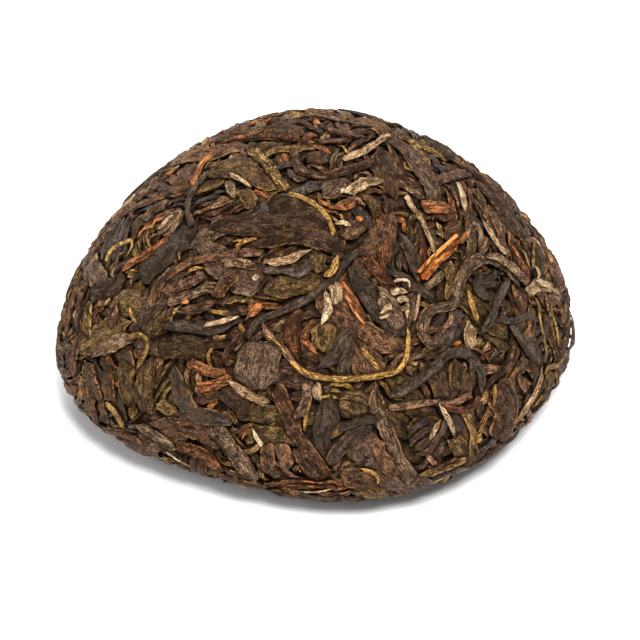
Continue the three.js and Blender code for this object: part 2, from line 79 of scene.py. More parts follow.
# Each leaf that shows in front, from the lowest to the highest: its name, its kind, its shade from
# deepest (0) to brightest (1), its width and the points that its middle line passes, in pixels.
SKETCHED = (
    ("brown flat leaf, right shoulder", "brown leaf", 0.35, 34, (482, 178, 505, 205, 522, 235)),
    ("brown flat leaf, right foot", "brown leaf", 0.2, 36, (500, 385, 508, 412, 500, 440)),
    ("olive flat leaf, left shoulder", "olive leaf", 0.35, 28, (205, 172, 232, 166, 258, 172)),
    ("dark leaf, crown", "brown leaf", 0.1, 24, (268, 202, 298, 210, 324, 224)),
    ("broad brown leaf", "brown leaf", 0.15, 26, (205, 226, 250, 224, 300, 228, 338, 240)),
    ("black shoulder leaf", "brown leaf", 0.0, 26, (384, 146, 386, 172, 396, 196)),
    ("grey fuzzy leaf", "grey leaf", 0.4, 22, (352, 190, 340, 184, 322, 190)),
    ("upright brown leaf 1", "brown leaf", 0.25, 18, (84, 362, 88, 380, 93, 400)),
    ("upright brown leaf 2", "brown leaf", 0.2, 13, (104, 366, 106, 382, 108, 400)),
    ("upright olive leaf", "olive leaf", 0.2, 18, (124, 362, 124, 382, 128, 402)),
    ("round-ended olive leaf", "olive leaf", 0.3, 20, (144, 358, 143, 384, 144, 412)),
    ("olive mass, upper left", "olive leaf", 0.8, 24, (106, 308, 122, 302, 140, 304)),
    ("olive mass, left", "olive leaf", 0.85, 26, (76, 352, 92, 338, 110, 328, 128, 320)),
    ("pit bed", "brown leaf", 0.0, 34, (410, 436, 426, 434, 442, 438)),
    ("black lens, pit", "black", 0.1, 13, (456, 416, 461, 425, 463, 434)),
    ("crumpled leaf, pit", "olive leaf", 0.7, 17, (454, 440, 461, 449, 465, 459)),
    ("olive flat leaf, crown", "olive leaf", 0.5, 22, (238, 166, 258, 176, 280, 186)),
    ("olive oval, crown", "olive leaf", 0.6, 14, (240, 188, 247, 196, 253, 205)),
    ("olive thumb leaf", "olive", 0.3, 13, (86, 300, 84, 318, 84, 336)),
    ("oval brown leaf", "brown", 0.3, 12, (114, 300, 111, 314, 108, 328)),
    ("black patch", "brown leaf", 0.0, 19, (88, 292, 104, 288, 122, 282)),
    ("olive leaf, centre", "olive leaf", 0.5, 24, (264, 292, 290, 284, 318, 274)),
    ("grey olive leaf, centre", "olive leaf", 0.35, 16, (318, 248, 318, 258, 316, 269)),
    ("russet foot leaf 1", "brown leaf", 0.7, 14, (267, 446, 267, 460, 269, 474)),
    ("russet foot leaf 2", "brown leaf", 0.75, 13, (281, 446, 285, 460, 288, 474)),
    ("brown foot leaf", "brown leaf", 0.4, 15, (298, 452, 306, 465, 318, 480)),
    ("russet foot leaf 3", "brown leaf", 0.7, 24, (342, 476, 356, 480, 374, 484)),
    ("rim leaf, left", "brown", 0.4, 11, (100, 430, 120, 436, 142, 446)),
    ("rim leaf, grey", "grey", 0.5, 13, (134, 426, 152, 436, 172, 450)),
    ("rim leaf, russet", "russet", 0.4, 13, (176, 448, 196, 453, 222, 474)),
    ("teal grey leaf", "grey", 0.35, 17, (208, 424, 225, 445, 240, 466, 252, 481)),
    ("dark diamond leaf", "brown leaf", 0.05, 18, (220, 390, 232, 400, 246, 410)),
    ("tea olive leaf", "olive leaf", 0.45, 25, (340, 402, 356, 406, 374, 412)),
    ("edge strip, left 1", "brown", 0.5, 7, (64, 338, 68, 312, 78, 280, 92, 252, 112, 224)),
    ("edge strip, left 2", "grey", 0.4, 8, (100, 238, 116, 217, 136, 197, 158, 182)),
    ("edge strip, left 3", "brown", 0.35, 9, (74, 330, 76, 306, 86, 278)),
    ("edge strip, crown left", "brown", 0.45, 8, (200, 150, 222, 142, 250, 130, 278, 122)),
    ("edge strip, crown", "grey", 0.45, 7, (288, 117, 312, 113, 342, 118, 372, 124)),
    ("edge strip, crown 2", "brown", 0.4, 8, (318, 124, 342, 131, 368, 135)),
    ("edge strip, right 1", "brown", 0.4, 9, (524, 216, 542, 242, 555, 272, 564, 305)),
    ("edge strip, right 2", "brown", 0.3, 9, (560, 300, 568, 328, 568, 355)),
    ("edge leaf, crown right", "olive", 0.35, 13, (400, 134, 420, 142, 446, 156)),
    ("edge leaf, right shoulder", "brown", 0.35, 11, (455, 158, 474, 170, 496, 188)),
    ("dark strip under twig", "black", 0.4, 12, (400, 232, 412, 252, 418, 272)),
    ("russet oval leaf", "russet", 0.25, 13, (390, 238, 386, 252, 386, 266)),
    ("russet side strip", "russet", 0.3, 10, (364, 254, 378, 270, 396, 284)),
    ("black folded strip", "black", 0.3, 20, (348, 262, 364, 286, 384, 310, 402, 334)),
    ("dusty half of the folded strip", "grey leaf", 0.75, 19, (380, 288, 390, 304, 401, 328)),
    ("red brown leaf", "brown leaf", 0.75, 19, (360, 324, 378, 338, 400, 350)),
    ("russet crescent", "russet", 0.2, 12, (302, 308, 292, 324, 291, 342, 298, 358)),
    ("russet crescent, inner", "russet", 0.5, 7, (314, 318, 305, 333, 303, 350)),
    ("round olive leaf", "olive leaf", 0.75, 25, (324, 322, 324, 336, 324, 350)),
    ("purple leaf, left", "brown", 0.25, 13, (152, 196, 166, 190, 184, 189)),
    ("grey rolled leaf, left", "grey", 0.3, 12, (142, 220, 150, 209, 164, 201)),
    ("orange brown leaf", "russet", 0.6, 11, (164, 234, 150, 248, 136, 257, 121, 265)),
    ("black paddle leaf", "black", 0.2, 25, (196, 216, 180, 236, 162, 256, 138, 275)),
    ("dark stalk", "black", 0.45, 7, (207, 171, 196, 182, 188, 196, 186, 210, 191, 224)),
    ("rolled strip 1", "brown", 0.45, 9, (160, 292, 180, 284, 204, 276)),
    ("rolled strip 2", "grey", 0.35, 10, (166, 300, 186, 294, 214, 284)),
    ("rolled strip 3", "brown", 0.35, 11, (176, 310, 196, 308, 216, 300)),
    ("dark belly strip", "black", 0.3, 13, (156, 326, 184, 325, 214, 326, 238, 314)),
    ("brown lobe", "brown", 0.3, 16, (214, 298, 222, 284, 236, 272)),
    ("olive black leaf", "olive leaf", 0.05, 24, (156, 350, 180, 346, 204, 352)),
    ("russet rolled strip", "brown", 0.6, 9, (148, 304, 160, 278, 182, 263, 206, 256, 234, 252, 262, 248)),
    ("grey olive strip", "grey", 0.5, 9, (220, 262, 240, 262, 258, 266)),
    ("blue black strip", "black", 0.6, 9, (262, 268, 282, 268, 300, 272, 310, 262)),
    ("pale tan strip", "pale", 0.35, 9, (264, 262, 286, 259, 309, 248)),
    ("brown tongue leaf", "brown leaf", 0.05, 16, (250, 246, 276, 238, 300, 236, 324, 240, 346, 250)),
    ("long dark strip", "black", 0.45, 7,
     (366, 248, 350, 256, 336, 275, 312, 295, 284, 309, 256, 322, 246, 338)),
    ("grey round leaf", "grey leaf", 0.6, 47, (258, 341, 257, 364, 256, 388)),
    ("boomerang leaf", "black", 0.4, 15, (172, 366, 179, 394, 194, 414, 228, 420)),
    ("orange bark strip", "russet", 0.7, 10, (186, 362, 204, 370, 224, 376)),
    ("orange bark strip 2", "russet", 0.6, 9, (194, 388, 212, 385, 230, 378)),
    ("tan stalk", "pale", 0.2, 8, (226, 381, 246, 394, 266, 404)),
    ("dark russet strip", "brown", 0.2, 14, (276, 386, 286, 410, 296, 436, 314, 460, 334, 481)),
    ("grey brown strip", "grey", 0.45, 9, (307, 381, 306, 400, 298, 420)),
    ("black teardrop bud", "black", 0.25, 20, (330, 396, 327, 418, 322, 438, 324, 456)),
    ("dark foot strip", "black", 0.3, 12, (376, 424, 352, 438, 330, 464)),
    ("long grey strip", "grey", 0.4, 14, (376, 384, 378, 406, 388, 432, 398, 458, 414, 482)),
    ("tan crumpled leaf", "brown leaf", 0.8, 12, (379, 438, 380, 454, 396, 478)),
    ("blue black bud", "black", 0.55, 16, (356, 326, 346, 338, 338, 354, 320, 368)),
    ("blue black tail", "black", 0.5, 12, (350, 352, 344, 366, 342, 380)),
    ("orange fold", "russet", 0.85, 9, (340, 282, 352, 300, 366, 324)),
    ("pale leaf stalk", "pale", 0.5, 7, (328, 290, 329, 306, 322, 324)),
    ("hooked leaf", "grey", 0.75, 14, (88, 356, 100, 348, 114, 341, 130, 337)),
    ("hooked stalk", "gold", 0.35, 6.5, (126, 337, 140, 335, 146, 345, 141, 358, 134, 370)),
    ("crown olive leaf", "olive", 0.45, 10, (250, 146, 266, 162, 284, 186)),
    ("crown dark strip", "brown", 0.25, 9, (292, 148, 300, 167, 322, 174, 350, 167, 376, 160)),
    ("crown gold stem", "gold", 0.95, 5, (288, 191, 305, 197, 318, 205, 328, 216, 334, 232)),
    ("crown tan strip", "pale", 0.25, 6, (344, 158, 366, 148, 392, 132)),
    ("orange scrap", "russet", 0.75, 10, (334, 206, 346, 203, 359, 200)),
    ("pale patch leaf", "pale leaf", 0.45, 13, (344, 192, 360, 183, 380, 176)),
    ("long pale strip", "pale", 0.2, 5, (408, 194, 420, 212, 428, 230, 436, 250)),
    ("long pale strip, tip", "pale", 0.45, 7, (407, 192, 412, 201, 418, 212)),
    ("pale lens tip", "pale", 0.6, 8, (460, 180, 464, 194, 468, 209)),
    ("amber leaf", "russet", 0.6, 17, (424, 206, 438, 206, 452, 207)),
    ("pale stalk, right", "pale", 0.4, 7, (486, 219, 495, 236, 508, 254)),
    ("dark collar strip", "black", 0.4, 9, (404, 284, 424, 290, 440, 303)),
    ("grey olive blade", "olive", 0.3, 10, (452, 260, 452, 278, 451, 299)),
    ("blue black crescent", "black", 0.5, 12, (484, 272, 482, 288, 496, 299)),
    ("dark branch", "black", 0.45, 10, (512, 280, 500, 300, 494, 318, 482, 334)),
    ("slate strip", "black", 0.6, 13, (514, 318, 526, 340, 542, 364)),
    ("olive bundle leaf", "olive", 0.4, 13, (548, 294, 556, 318, 558, 344)),
    ("loop strip", "grey", 0.25, 11,
     (444, 334, 434, 344, 424, 332, 430, 312, 456, 302, 463, 278, 480, 258, 504, 262, 524, 282)),
    ("loop outer strip", "grey", 0.7, 9, (488, 256, 500, 256, 514, 266, 524, 276, 534, 286)),
    ("pale cap tip", "pale", 0.35, 5, (538, 264, 541, 274, 545, 284)),
    ("pale cap leaf", "pale leaf", 0.5, 12, (531, 291, 542, 285, 554, 289, 563, 299)),
    ("olive stem, right", "gold", 0.35, 5, (540, 298, 543, 322, 549, 358)),
    ("gold blade", "gold", 0.7, 7, (470, 288, 474, 304, 480, 320)),
    ("tan crumple", "pale", 0.3, 14, (474, 322, 472, 334, 474, 346)),
    ("lower loop strip", "black", 0.5, 10,
     (392, 398, 416, 383, 438, 366, 450, 354, 468, 354, 482, 370, 484, 394)),
    ("dark olive lens", "olive leaf", 0.1, 18, (460, 362, 458, 376, 459, 390)),
    ("pit bundle 1", "black", 0.05, 9, (408, 437, 418, 428, 431, 420)),
    ("pit bundle 2", "black", 0.2, 8, (411, 445, 421, 437, 432, 428)),
    ("pit bundle 3", "black", 0.1, 8, (415, 452, 426, 445, 434, 437)),
    ("olive rim blade", "olive", 0.4, 10, (467, 412, 474, 428, 475, 444, 471, 460)),
    ("dark pit ring", "black", 0.5, 6, (447, 419, 445, 431, 438, 441, 428, 453, 416, 456)),
    ("tan cross strip", "brown", 0.95, 6, (390, 408, 412, 406, 433, 403, 454, 404, 472, 394)),
    ("olive foot strip", "olive", 0.55, 9, (422, 477, 446, 472, 468, 461)),
    ("right foot stems", "pale", 0.2, 8, (547, 368, 540, 388, 518, 424)),
    ("orange twig", "twig", 0.5, 10, (423, 277, 436, 262, 450, 248, 461, 237)),
    ("orange twig, light edge", "twig", 1.0, 3.4, (419, 272, 432, 258, 446, 245, 459, 233)),
    ("orange twig, red tip", "russet", 0.8, 3, (458, 243, 464, 237, 470, 230)),
    ("golden stem, brown end", "brown", 0.85, 6,
     (262, 322, 268, 335, 284, 350, 297, 367, 312, 376, 322, 378)),
    ("golden stem, yellow line", "gold", 0.8, 2.2, (266, 334, 276, 342, 286, 353)),
    ("golden stem", "gold", 0.6, 6, (290, 360, 302, 371, 318, 377, 346, 379, 380, 376, 396, 372)),
    ("golden stem, right end", "gold", 0.85, 5, (382, 376, 398, 371, 406, 360, 409, 344, 409, 326)),
    # The small pieces that lie on or between those
    ("yellow loop, left", "gold", 0.8, 4, (104, 260, 110, 250, 120, 243, 130, 240, 131, 246, 125, 256)),
    ("pale tip, left", "pale", 0.7, 4, (158, 228, 165, 219, 172, 213)),
    ("orange sliver, left shoulder", "russet", 0.85, 6, (190, 183, 196, 170, 203, 158, 215, 150)),
    ("russet line, crown", "russet", 0.2, 5, (219, 141, 247, 134, 285, 135, 314, 142)),
    ("pink tip, crown", "russet", 0.9, 3.5, (313, 143, 322, 147, 331, 151)),
    ("pale stem, crown left", "pale", 0.5, 3.5, (229, 173, 240, 178, 251, 186)),
    ("thin stem, crown", "gold", 0.6, 1.8, (286, 187, 274, 192, 266, 202)),
    ("bright orange bit", "russet", 1.0, 6, (356, 216, 364, 218)),
    ("tan crescent", "pale", 0.6, 5, (336, 222, 344, 221, 349, 225)),
    ("yellow leaf edge", "gold", 0.75, 7, (337, 255, 334, 268, 325, 276)),
    ("pale yellow leaf", "pale leaf", 0.3, 11, (334, 283, 339, 303)),
    ("orange fragment", "russet", 0.9, 6, (303, 340, 317, 352)),
    ("tan stem, belly", "gold", 0.5, 4, (312, 395, 306, 415, 304, 432)),
    ("pale tip, belly", "grey", 0.8, 8, (316, 383, 318, 400)),
    ("dark strip, foot", "black", 0.2, 8, (340, 430, 360, 422, 376, 420)),
    ("blue black strip, foot", "black", 0.6, 10, (366, 462, 378, 470)),
    ("yellow edge, foot", "gold", 0.6, 5, (362, 470, 378, 478, 378, 486)),
    ("long tan edge, foot", "pale", 0.4, 3, (285, 492, 310, 495, 333, 491)),
    ("pale seed", "pale", 1.0, 4, (251, 430, 255, 437, 262, 447)),
    ("pale line, left foot", "pale", 0.5, 3, (165, 452, 190, 468)),
    ("tan stem, left foot", "gold", 0.6, 8, (104, 404, 113, 414, 121, 427)),
    ("amber bit, left foot", "olive leaf", 0.85, 12, (157, 404, 165, 409, 172, 414)),
    ("tan edge strip, left", "pale", 0.25, 6, (75, 270, 85, 250, 100, 228, 120, 208, 137, 192)),
    ("thin russet strip, right", "russet", 0.4, 4, (470, 185, 472, 205, 468, 225)),
    ("pale strip, right", "grey", 0.85, 6, (474, 219, 481, 228, 483, 236, 481, 245)),
    ("thin dark strip, right", "black", 0.3, 6, (500, 318, 515, 320, 535, 314)),
    ("pale line, right", "pale", 0.5, 3, (535, 236, 548, 258)),
    ("brown strip, centre", "grey", 0.35, 10, (414, 292, 413, 308, 411, 324)),
    ("tan edge, centre 1", "pale", 0.3, 3.2, (409, 294, 409, 306, 408, 318)),
    ("tan edge, centre 2", "pale", 0.25, 2.6, (420, 293, 418, 307, 415, 321)),
    ("pale hook", "pale", 0.6, 3.4, (395, 280, 403, 279, 409, 281, 410, 287)),
    ("dark strip in loop", "black", 0.5, 8, (473, 357, 474, 374)),
    ("russet strip, loop", "russet", 0.25, 6, (446, 408, 462, 411, 475, 407, 481, 396)),
    ("tan stem, loop", "pale", 0.2, 5, (442, 405, 447, 414, 453, 427, 456, 438)),
    ("tan bit, pit", "pale", 0.35, 5, (441, 421, 436, 430, 431, 441)),
    ("russet strip, foot", "russet", 0.4, 4, (438, 468, 448, 464, 458, 459)),
    ("tan line, foot", "pale", 0.4, 4, (430, 486, 450, 478)),
    ("gold bit, right", "gold", 0.65, 5, (496, 385, 497, 395, 495, 407)),
    ("gold olive hook", "gold", 0.5, 6, (568, 352, 560, 365, 550, 368, 545, 375)),
    ("gold strip, right", "gold", 0.55, 6, (556, 315, 560, 345)),
    ("yellow blade", "gold", 0.7, 6, (362, 348, 380, 370)),
    ("orange scrap, centre", "russet", 0.95, 7, (246, 318, 260, 303)),
    ("pink tan strip", "pale", 0.4, 5, (203, 325, 220, 321, 238, 316)),
    ("pale bit, centre", "pale", 0.7, 6, (252, 275, 257, 277)),
    ("yellow green line", "gold", 0.7, 3, (178, 252, 179, 260)),
    ("orange bit, left", "russet", 0.9, 5, (180, 301, 187, 300)),
    ("yellow bit, left", "gold", 0.8, 5, (103, 303, 108, 297)),
    ("yellow line, left", "gold", 0.7, 4, (128, 308, 132, 322)),
    ("red streak", "russet", 0.8, 4, (470, 230, 462, 242)),
    # Pale down that is left on the folded strip in the middle
    ("down 1", "pale leaf", 0.5, 7, (392, 293, 400, 290, 408, 292)),
    ("down 2", "pale leaf", 0.6, 6.5, (398, 301, 404, 298, 410, 299)),
    ("down 3", "pale leaf", 0.4, 5, (402, 309, 408, 306)),
    ("down 4", "pale leaf", 0.25, 4.5, (381, 292, 391, 297)),
    ("down 5", "pale leaf", 0.5, 6, (382, 311, 388, 307, 394, 304)),
    ("down 6", "pale leaf", 0.2, 4, (380, 318, 391, 313)),
)

# The leaves that the sketch leaves out, spread by the same seeded rule as in the solid
SCATTER_SEED = 4067
SCATTERED = {"sides": 86, "hollow": 12}
SKETCHED_SIDE = -6
CAST_STEPS = 50  # a ray comes closer to the form in steps, each a share of what is left, until it is close
CAST_SHARE = 0.8
CAST_CLOSE = 0.02
EVEN_STEPS = {"reach": 0.7548776662, "bearing": 0.569840291}  # places this far apart never bunch
SCATTER_LENGTHS = (12, 22)
SCATTER_WIDTHS = (3, 5.5)
LEAST_HOLLOW_RADIUS = 8
SCATTERED_FLAT = 4  # those wider than this are flat leaves, and the rest strips, drawn in to this share
SCATTERED_ROLLED = 0.55


class Kind(NamedTuple):
    """How one kind of leaf is shaped, in millimetres and shares"""

    thickness: float  # when pressed
    flatness: float  # power of the section: 2 is an ellipse, and more is squarer
    laps: int  # edges of the rolled leaf that wind along it
    lap_height: float
    creases: float  # depth of the sharp creases
    crease_size: tuple  # along and across
    crumple: float  # height of the finer crumpling
    crumple_size: tuple
    veins: float  # height of the middle and side veins
    ragged: float  # share of the width that the edge wanders
    pinch: float  # share of the width that both edges draw in together, as a twist does
    torn: float  # share of the ends that are torn off, where the rest run out in a point


STRIP = Kind(thickness=1.0, flatness=2.3, laps=1, lap_height=0.28, creases=0.36, crease_size=(3.6, 0.5),
             crumple=0.13, crumple_size=(0.8, 0.4), veins=0.0, ragged=0.17, pinch=0.16, torn=0.5)
LEAF = Kind(thickness=0.5, flatness=3.0, laps=0, lap_height=0.0, creases=0.42, crease_size=(3.0, 0.7),
            crumple=0.2, crumple_size=(1.0, 0.45), veins=0.05, ragged=0.17, pinch=0.06, torn=0.6)
KINDS = {
    "black": STRIP,
    "brown": STRIP,
    "grey": STRIP._replace(creases=0.24),
    "olive": STRIP._replace(thickness=0.9, lap_height=0.16),
    "russet": STRIP._replace(thickness=0.85, crumple=0.14),
    "pale": STRIP._replace(thickness=0.7, laps=0, creases=0.2, crease_size=(3.2, 0.45)),
    "gold": STRIP._replace(thickness=0.75, laps=0, creases=0.16, crumple=0.05, ragged=0.12, pinch=0.1),
    "twig": STRIP._replace(thickness=1.4, laps=0, creases=0.4, crease_size=(9, 0.42), crumple=0.05,
                           ragged=0.06, pinch=0.04, torn=1.0),
    "brown leaf": LEAF,
    "olive leaf": LEAF,
    "grey leaf": LEAF._replace(creases=0.2, crumple=0.12),
    "pale leaf": LEAF._replace(thickness=0.6, creases=0.4, crumple=0.2, ragged=0.26),
}
TORN_TIP = (0.1, 0.45)  # lengths of a tip, in widths of its leaf
POINTED_TIP = (1.0, 3.0)
TORN_WIDTH = 0.5  # share of the width left at a torn end, and at a point
POINT_WIDTH = 0.07
SLANTS = (0.45, 0.8)  # how far a torn end and a point lean along the leaf, in widths
JAGS = 0.22  # how far a torn end is jagged, in widths
WIDEST_SLANT = 2.0  # slants and jags grow no further past this width
BROAD = 0.5  # a leaf wider than this share of its length has no pointed end
SHORTEST_TIP = 0.25
LONGEST_TIP = 0.42  # share of the leaf's length
TORN_POWERS = (0.35, 0.6)  # how bluntly a torn end and a point narrow: less is blunter
POINT_POWERS = (0.55, 1.0)
PINCH_LENGTH = 2.2


class Leaf(NamedTuple):
    """One leaf to lay: its kind, shade, width and the points on the form that it passes"""

    kind: str
    shade: float
    width: float
    points: np.ndarray
    step: float  # between the stations of its mesh
    least_seen: float  # share that must show, or it isn't laid
    stiff: float  # how far it dips along its whole width under what crosses a part of it
    vary: float  # how far its colour strays from what its kind and shade say


class FormSizes(NamedTuple):
    """The pressed form's sizes in millimetres"""

    height: float
    waist_radius: float
    waist_height: float
    ring_outer: float
    ring_inner: float
    hollow_depth: float
    crown_power: float
    rim_power: float


def bilinear(table, x, y):
    """Reads a table between its places"""
    x = np.clip(x, 0, table.shape[0] - 1.001)
    y = np.clip(y, 0, table.shape[1] - 1.001)
    i, j = x.astype(int), y.astype(int)
    u, v = x - i, y - j
    near = table[i, j] * (1 - v) + table[i, j + 1] * v
    far = table[i + 1, j] * (1 - v) + table[i + 1, j + 1] * v
    return near * (1 - u) + far * u


class Form:
    """The pressed form: a section turned round the axis and waved in plan.

    Reach is the distance along the section from the crown, and bearing the angle round the axis.
    """

    CELL = 0.25  # of the chart that holds how deep the leaves lie
    SIDE = 760
    TABLE_STEP = 0.25
    TABLE_LOW = -8.0
    TABLE_HIGH = 56

    def __init__(self, sizes):
        self.sizes = s = sizes
        a = (1 - np.arange(OUTLINE_STEPS["crown"] + 1) / OUTLINE_STEPS["crown"]) * math.pi / 2
        crown = np.column_stack([
            s.waist_radius * np.cos(a) ** (2 / s.crown_power),
            s.waist_height + (s.height - s.waist_height) * np.sin(a) ** (2 / s.crown_power),
        ])
        crown[0, 0] = 0
        a = np.arange(1, OUTLINE_STEPS["rim"] + 1) / OUTLINE_STEPS["rim"] * math.pi / 2
        rim = np.column_stack([
            s.ring_outer + (s.waist_radius - s.ring_outer) * np.cos(a) ** (2 / s.rim_power),
            s.waist_height * (1 - np.sin(a) ** (2 / s.rim_power)),
        ])
        r = s.ring_inner * (1 - np.arange(OUTLINE_STEPS["hollow"] + 1) / OUTLINE_STEPS["hollow"])
        hollow = np.column_stack([r, s.hollow_depth * (1 + np.cos(math.pi * r / s.ring_inner)) / 2])
        self.outline = np.vstack([crown, rim, hollow])
        d = np.diff(self.outline, axis=0)
        length = np.hypot(d[:, 0], d[:, 1])
        self.reaches = np.concatenate([[0], np.cumsum(length)])
        self.ring_reach = self.reaches[OUTLINE_STEPS["crown"] + OUTLINE_STEPS["rim"]]
        self.hollow_reach = self.reaches[OUTLINE_STEPS["crown"] + OUTLINE_STEPS["rim"] + 1]
        self.end_reach = self.reaches[-1]
        normal = np.column_stack([-d[:, 1], d[:, 0]]) / length[:, None]
        self.middles = (self.reaches[1:] + self.reaches[:-1]) / 2
        self.normals = normal
        self.table = self._reach_table()

    def _on_outline(self, r, z):
        """The nearest place of the section to each point: its reach and its distance outside"""
        best = np.full(r.shape, np.inf)
        reach = np.zeros(r.shape)
        outside = np.zeros(r.shape)
        for k in range(len(self.outline) - 1):
            ar, az = self.outline[k]
            dr, dz = self.outline[k + 1] - self.outline[k]
            length = math.hypot(dr, dz)
            along = np.clip(((r - ar) * dr + (z - az) * dz) / length**2, 0, 1)
            gr, gz = r - ar - along * dr, z - az - along * dz
            gap = np.hypot(gr, gz)
            closer = gap < best
            best = np.where(closer, gap, best)
            reach = np.where(closer, self.reaches[k] + along * length, reach)
            side = gr * self.normals[k, 0] + gz * self.normals[k, 1]
            outside = np.where(closer, np.sign(side) * gap, outside)
        return reach, outside

    def _reach_table(self):
        """The reach nearest to each place of an even table over the section"""
        radius = np.arange(0, self.TABLE_HIGH, self.TABLE_STEP)
        height = np.arange(self.TABLE_LOW, self.TABLE_HIGH, self.TABLE_STEP)
        r, z = np.meshgrid(radius, height, indexing="ij")
        return self._on_outline(r, z)[0]

    def plan_factor(self, bearing):
        """How many times as wide the cake is as its mean, at this bearing"""
        waves = (share * np.cos(n * (bearing - math.radians(crest))) for n, share, crest in PLAN_WAVES)
        return 1 + sum(waves)

    def nearest(self, p):
        """The reach and bearing of the place on the form that is nearest to each point"""
        bearing = np.arctan2(p[..., 1], p[..., 0])
        r = np.hypot(p[..., 0], p[..., 1]) / self.plan_factor(bearing)
        z = p[..., 2]
        reach = bilinear(self.table, r / self.TABLE_STEP, (z - self.TABLE_LOW) / self.TABLE_STEP)
        return reach, bearing

    def out(self, reach, bearing):
        """The directions straight out of the form at these places"""
        nr = np.interp(reach, self.middles, self.normals[:, 0])
        nz = np.interp(reach, self.middles, self.normals[:, 1])
        return np.stack([nr * np.cos(bearing), nr * np.sin(bearing), nz], axis=-1)

    def place(self, reach, bearing, depth=0.0):
        """The points at these places, that far under the form's face"""
        r = np.interp(reach, self.reaches, self.outline[:, 0]) * self.plan_factor(bearing)
        z = np.interp(reach, self.reaches, self.outline[:, 1])
        at = np.stack([r * np.cos(bearing), r * np.sin(bearing), z], axis=-1)
        return at - self.out(reach, bearing) * np.asarray(depth)[..., None]

    def cell(self, reach, bearing):
        """The place in the chart, which shows the hollow as a second disc beside the first"""
        inner = reach > self.hollow_reach
        rho = np.where(inner, self.end_reach - reach, reach) / self.CELL
        x = (rho * np.cos(bearing) + self.SIDE / 2).astype(int)
        y = (rho * np.sin(bearing) + self.SIDE / 2).astype(int)
        return (inner * self.SIDE + x) * self.SIDE + y

    def cast(self, pixels):
        """Casts points of the sketch onto the front of the form"""
        px, py = np.asarray(pixels, float).reshape(-1, 2).T
        back = np.array([0, -math.cos(VIEW_ELEVATION), math.sin(VIEW_ELEVATION)])
        up = np.array([0, math.sin(VIEW_ELEVATION), math.cos(VIEW_ELEVATION)])
        target = np.array([0, 0, SKETCH_HEIGHT])
        eye = target + back * VIEW_DISTANCE
        aim = target + np.outer((SKETCH_CENTRE[1] - py) / PIXELS_PER_MM, up)
        aim[:, 0] += (px - SKETCH_CENTRE[0]) / PIXELS_PER_MM
        ray = aim - eye
        ray /= np.linalg.norm(ray, axis=1)[:, None]
        travelled = np.full(len(px), VIEW_DISTANCE - self.sizes.height - self.sizes.waist_radius)
        farthest = VIEW_DISTANCE + self.sizes.waist_radius
        for _ in range(CAST_STEPS):
            p = eye + ray * travelled[:, None]
            bearing = np.arctan2(p[:, 1], p[:, 0])
            r = np.hypot(p[:, 0], p[:, 1]) / self.plan_factor(bearing)
            reach, outside = self._on_outline(r, p[:, 2])
            short = (outside > CAST_CLOSE) & (travelled < farthest)
            travelled = np.where(short, travelled + outside * CAST_SHARE, travelled)
        return self.place(reach, bearing)


class Ripple:
    """Smooth seeded noise between -1 and 1, one wave or so to each whole step"""

    def __init__(self, seed):
        self.table = np.random.default_rng(seed).uniform(-1, 1, (128, 128))

    def __call__(self, x, y=0.0):
        x, y = np.broadcast_arrays(np.asarray(x, float), np.asarray(y, float))
        i, j = np.floor(x).astype(int), np.floor(y).astype(int)
        u, v = x - i, y - j
        u, v = u * u * (3 - 2 * u), v * v * (3 - 2 * v)
        i, j, k, m = i % 128, j % 128, (i + 1) % 128, (j + 1) % 128
        near = self.table[i, j] * (1 - v) + self.table[i, m] * v
        far = self.table[k, j] * (1 - v) + self.table[k, m] * v
        return near * (1 - u) + far * u


CURVE_STEPS = 24  # of each stretch of a route, before it is cut into even steps
FEWEST_STATIONS = 7


def smooth_route(points, step):
    """A centripetal curve through the points, in even steps, and the distance along it"""
    p = np.vstack([2 * points[0] - points[1], points, 2 * points[-1] - points[-2]])
    spans = []
    for p0, p1, p2, p3 in zip(p, p[1:], p[2:], p[3:]):
        d0, d1, d2 = (max(np.linalg.norm(b - a), 1e-6) ** 0.5 for a, b in ((p0, p1), (p1, p2), (p2, p3)))
        m1 = ((p1 - p0) / d0 - (p2 - p0) / (d0 + d1) + (p2 - p1) / d1) * d1
        m2 = ((p2 - p1) / d1 - (p3 - p1) / (d1 + d2) + (p3 - p2) / d2) * d1
        u = np.linspace(0, 1, CURVE_STEPS, endpoint=False)[:, None]
        spans.append((2 * u**3 - 3 * u**2 + 1) * p1 + (u**3 - 2 * u**2 + u) * m1
                     + (3 * u**2 - 2 * u**3) * p2 + (u**3 - u**2) * m2)
    path = np.vstack([*spans, points[-1:]])
    along = np.concatenate([[0], np.cumsum(np.linalg.norm(np.diff(path, axis=0), axis=1))])
    stations = np.linspace(0, along[-1], max(FEWEST_STATIONS, int(along[-1] / step) + 1))
    return np.column_stack([np.interp(stations, along, path[:, k]) for k in range(3)]), stations


def widened(values, steps):
    """The highest value within so many steps along the first axis"""
    best = values.copy()
    for k in range(1, steps + 1):
        best[k:] = np.maximum(best[k:], values[:-k])
        best[:-k] = np.maximum(best[:-k], values[k:])
    return best


def softened(values, steps):
    """Values averaged over about so many steps along the first axis"""
    reach = max(1, int(round(2 * steps)))
    weights = np.exp(-0.5 * (np.arange(-reach, reach + 1) / max(steps, 0.3)) ** 2)
    weights /= weights.sum()
    padded = np.concatenate([values[:1].repeat(reach, 0), values, values[-1:].repeat(reach, 0)])
    total = np.zeros_like(values)
    for k, weight in enumerate(weights):
        total += weight * padded[k:k + len(values)]
    return total


def halfway(values):
    """Values with those halfway between them put in, along the first axis"""
    out = np.repeat(values, 2, axis=0)[:-1]
    out[1::2] = (values[1:] + values[:-1]) / 2
    return out


def sunk(depth, most):
    """A depth that is true near the face and never reaches the most that the cake holds"""
    return np.where(depth > 0, most * (1 - np.exp(-np.maximum(depth, 0) / most)), depth)


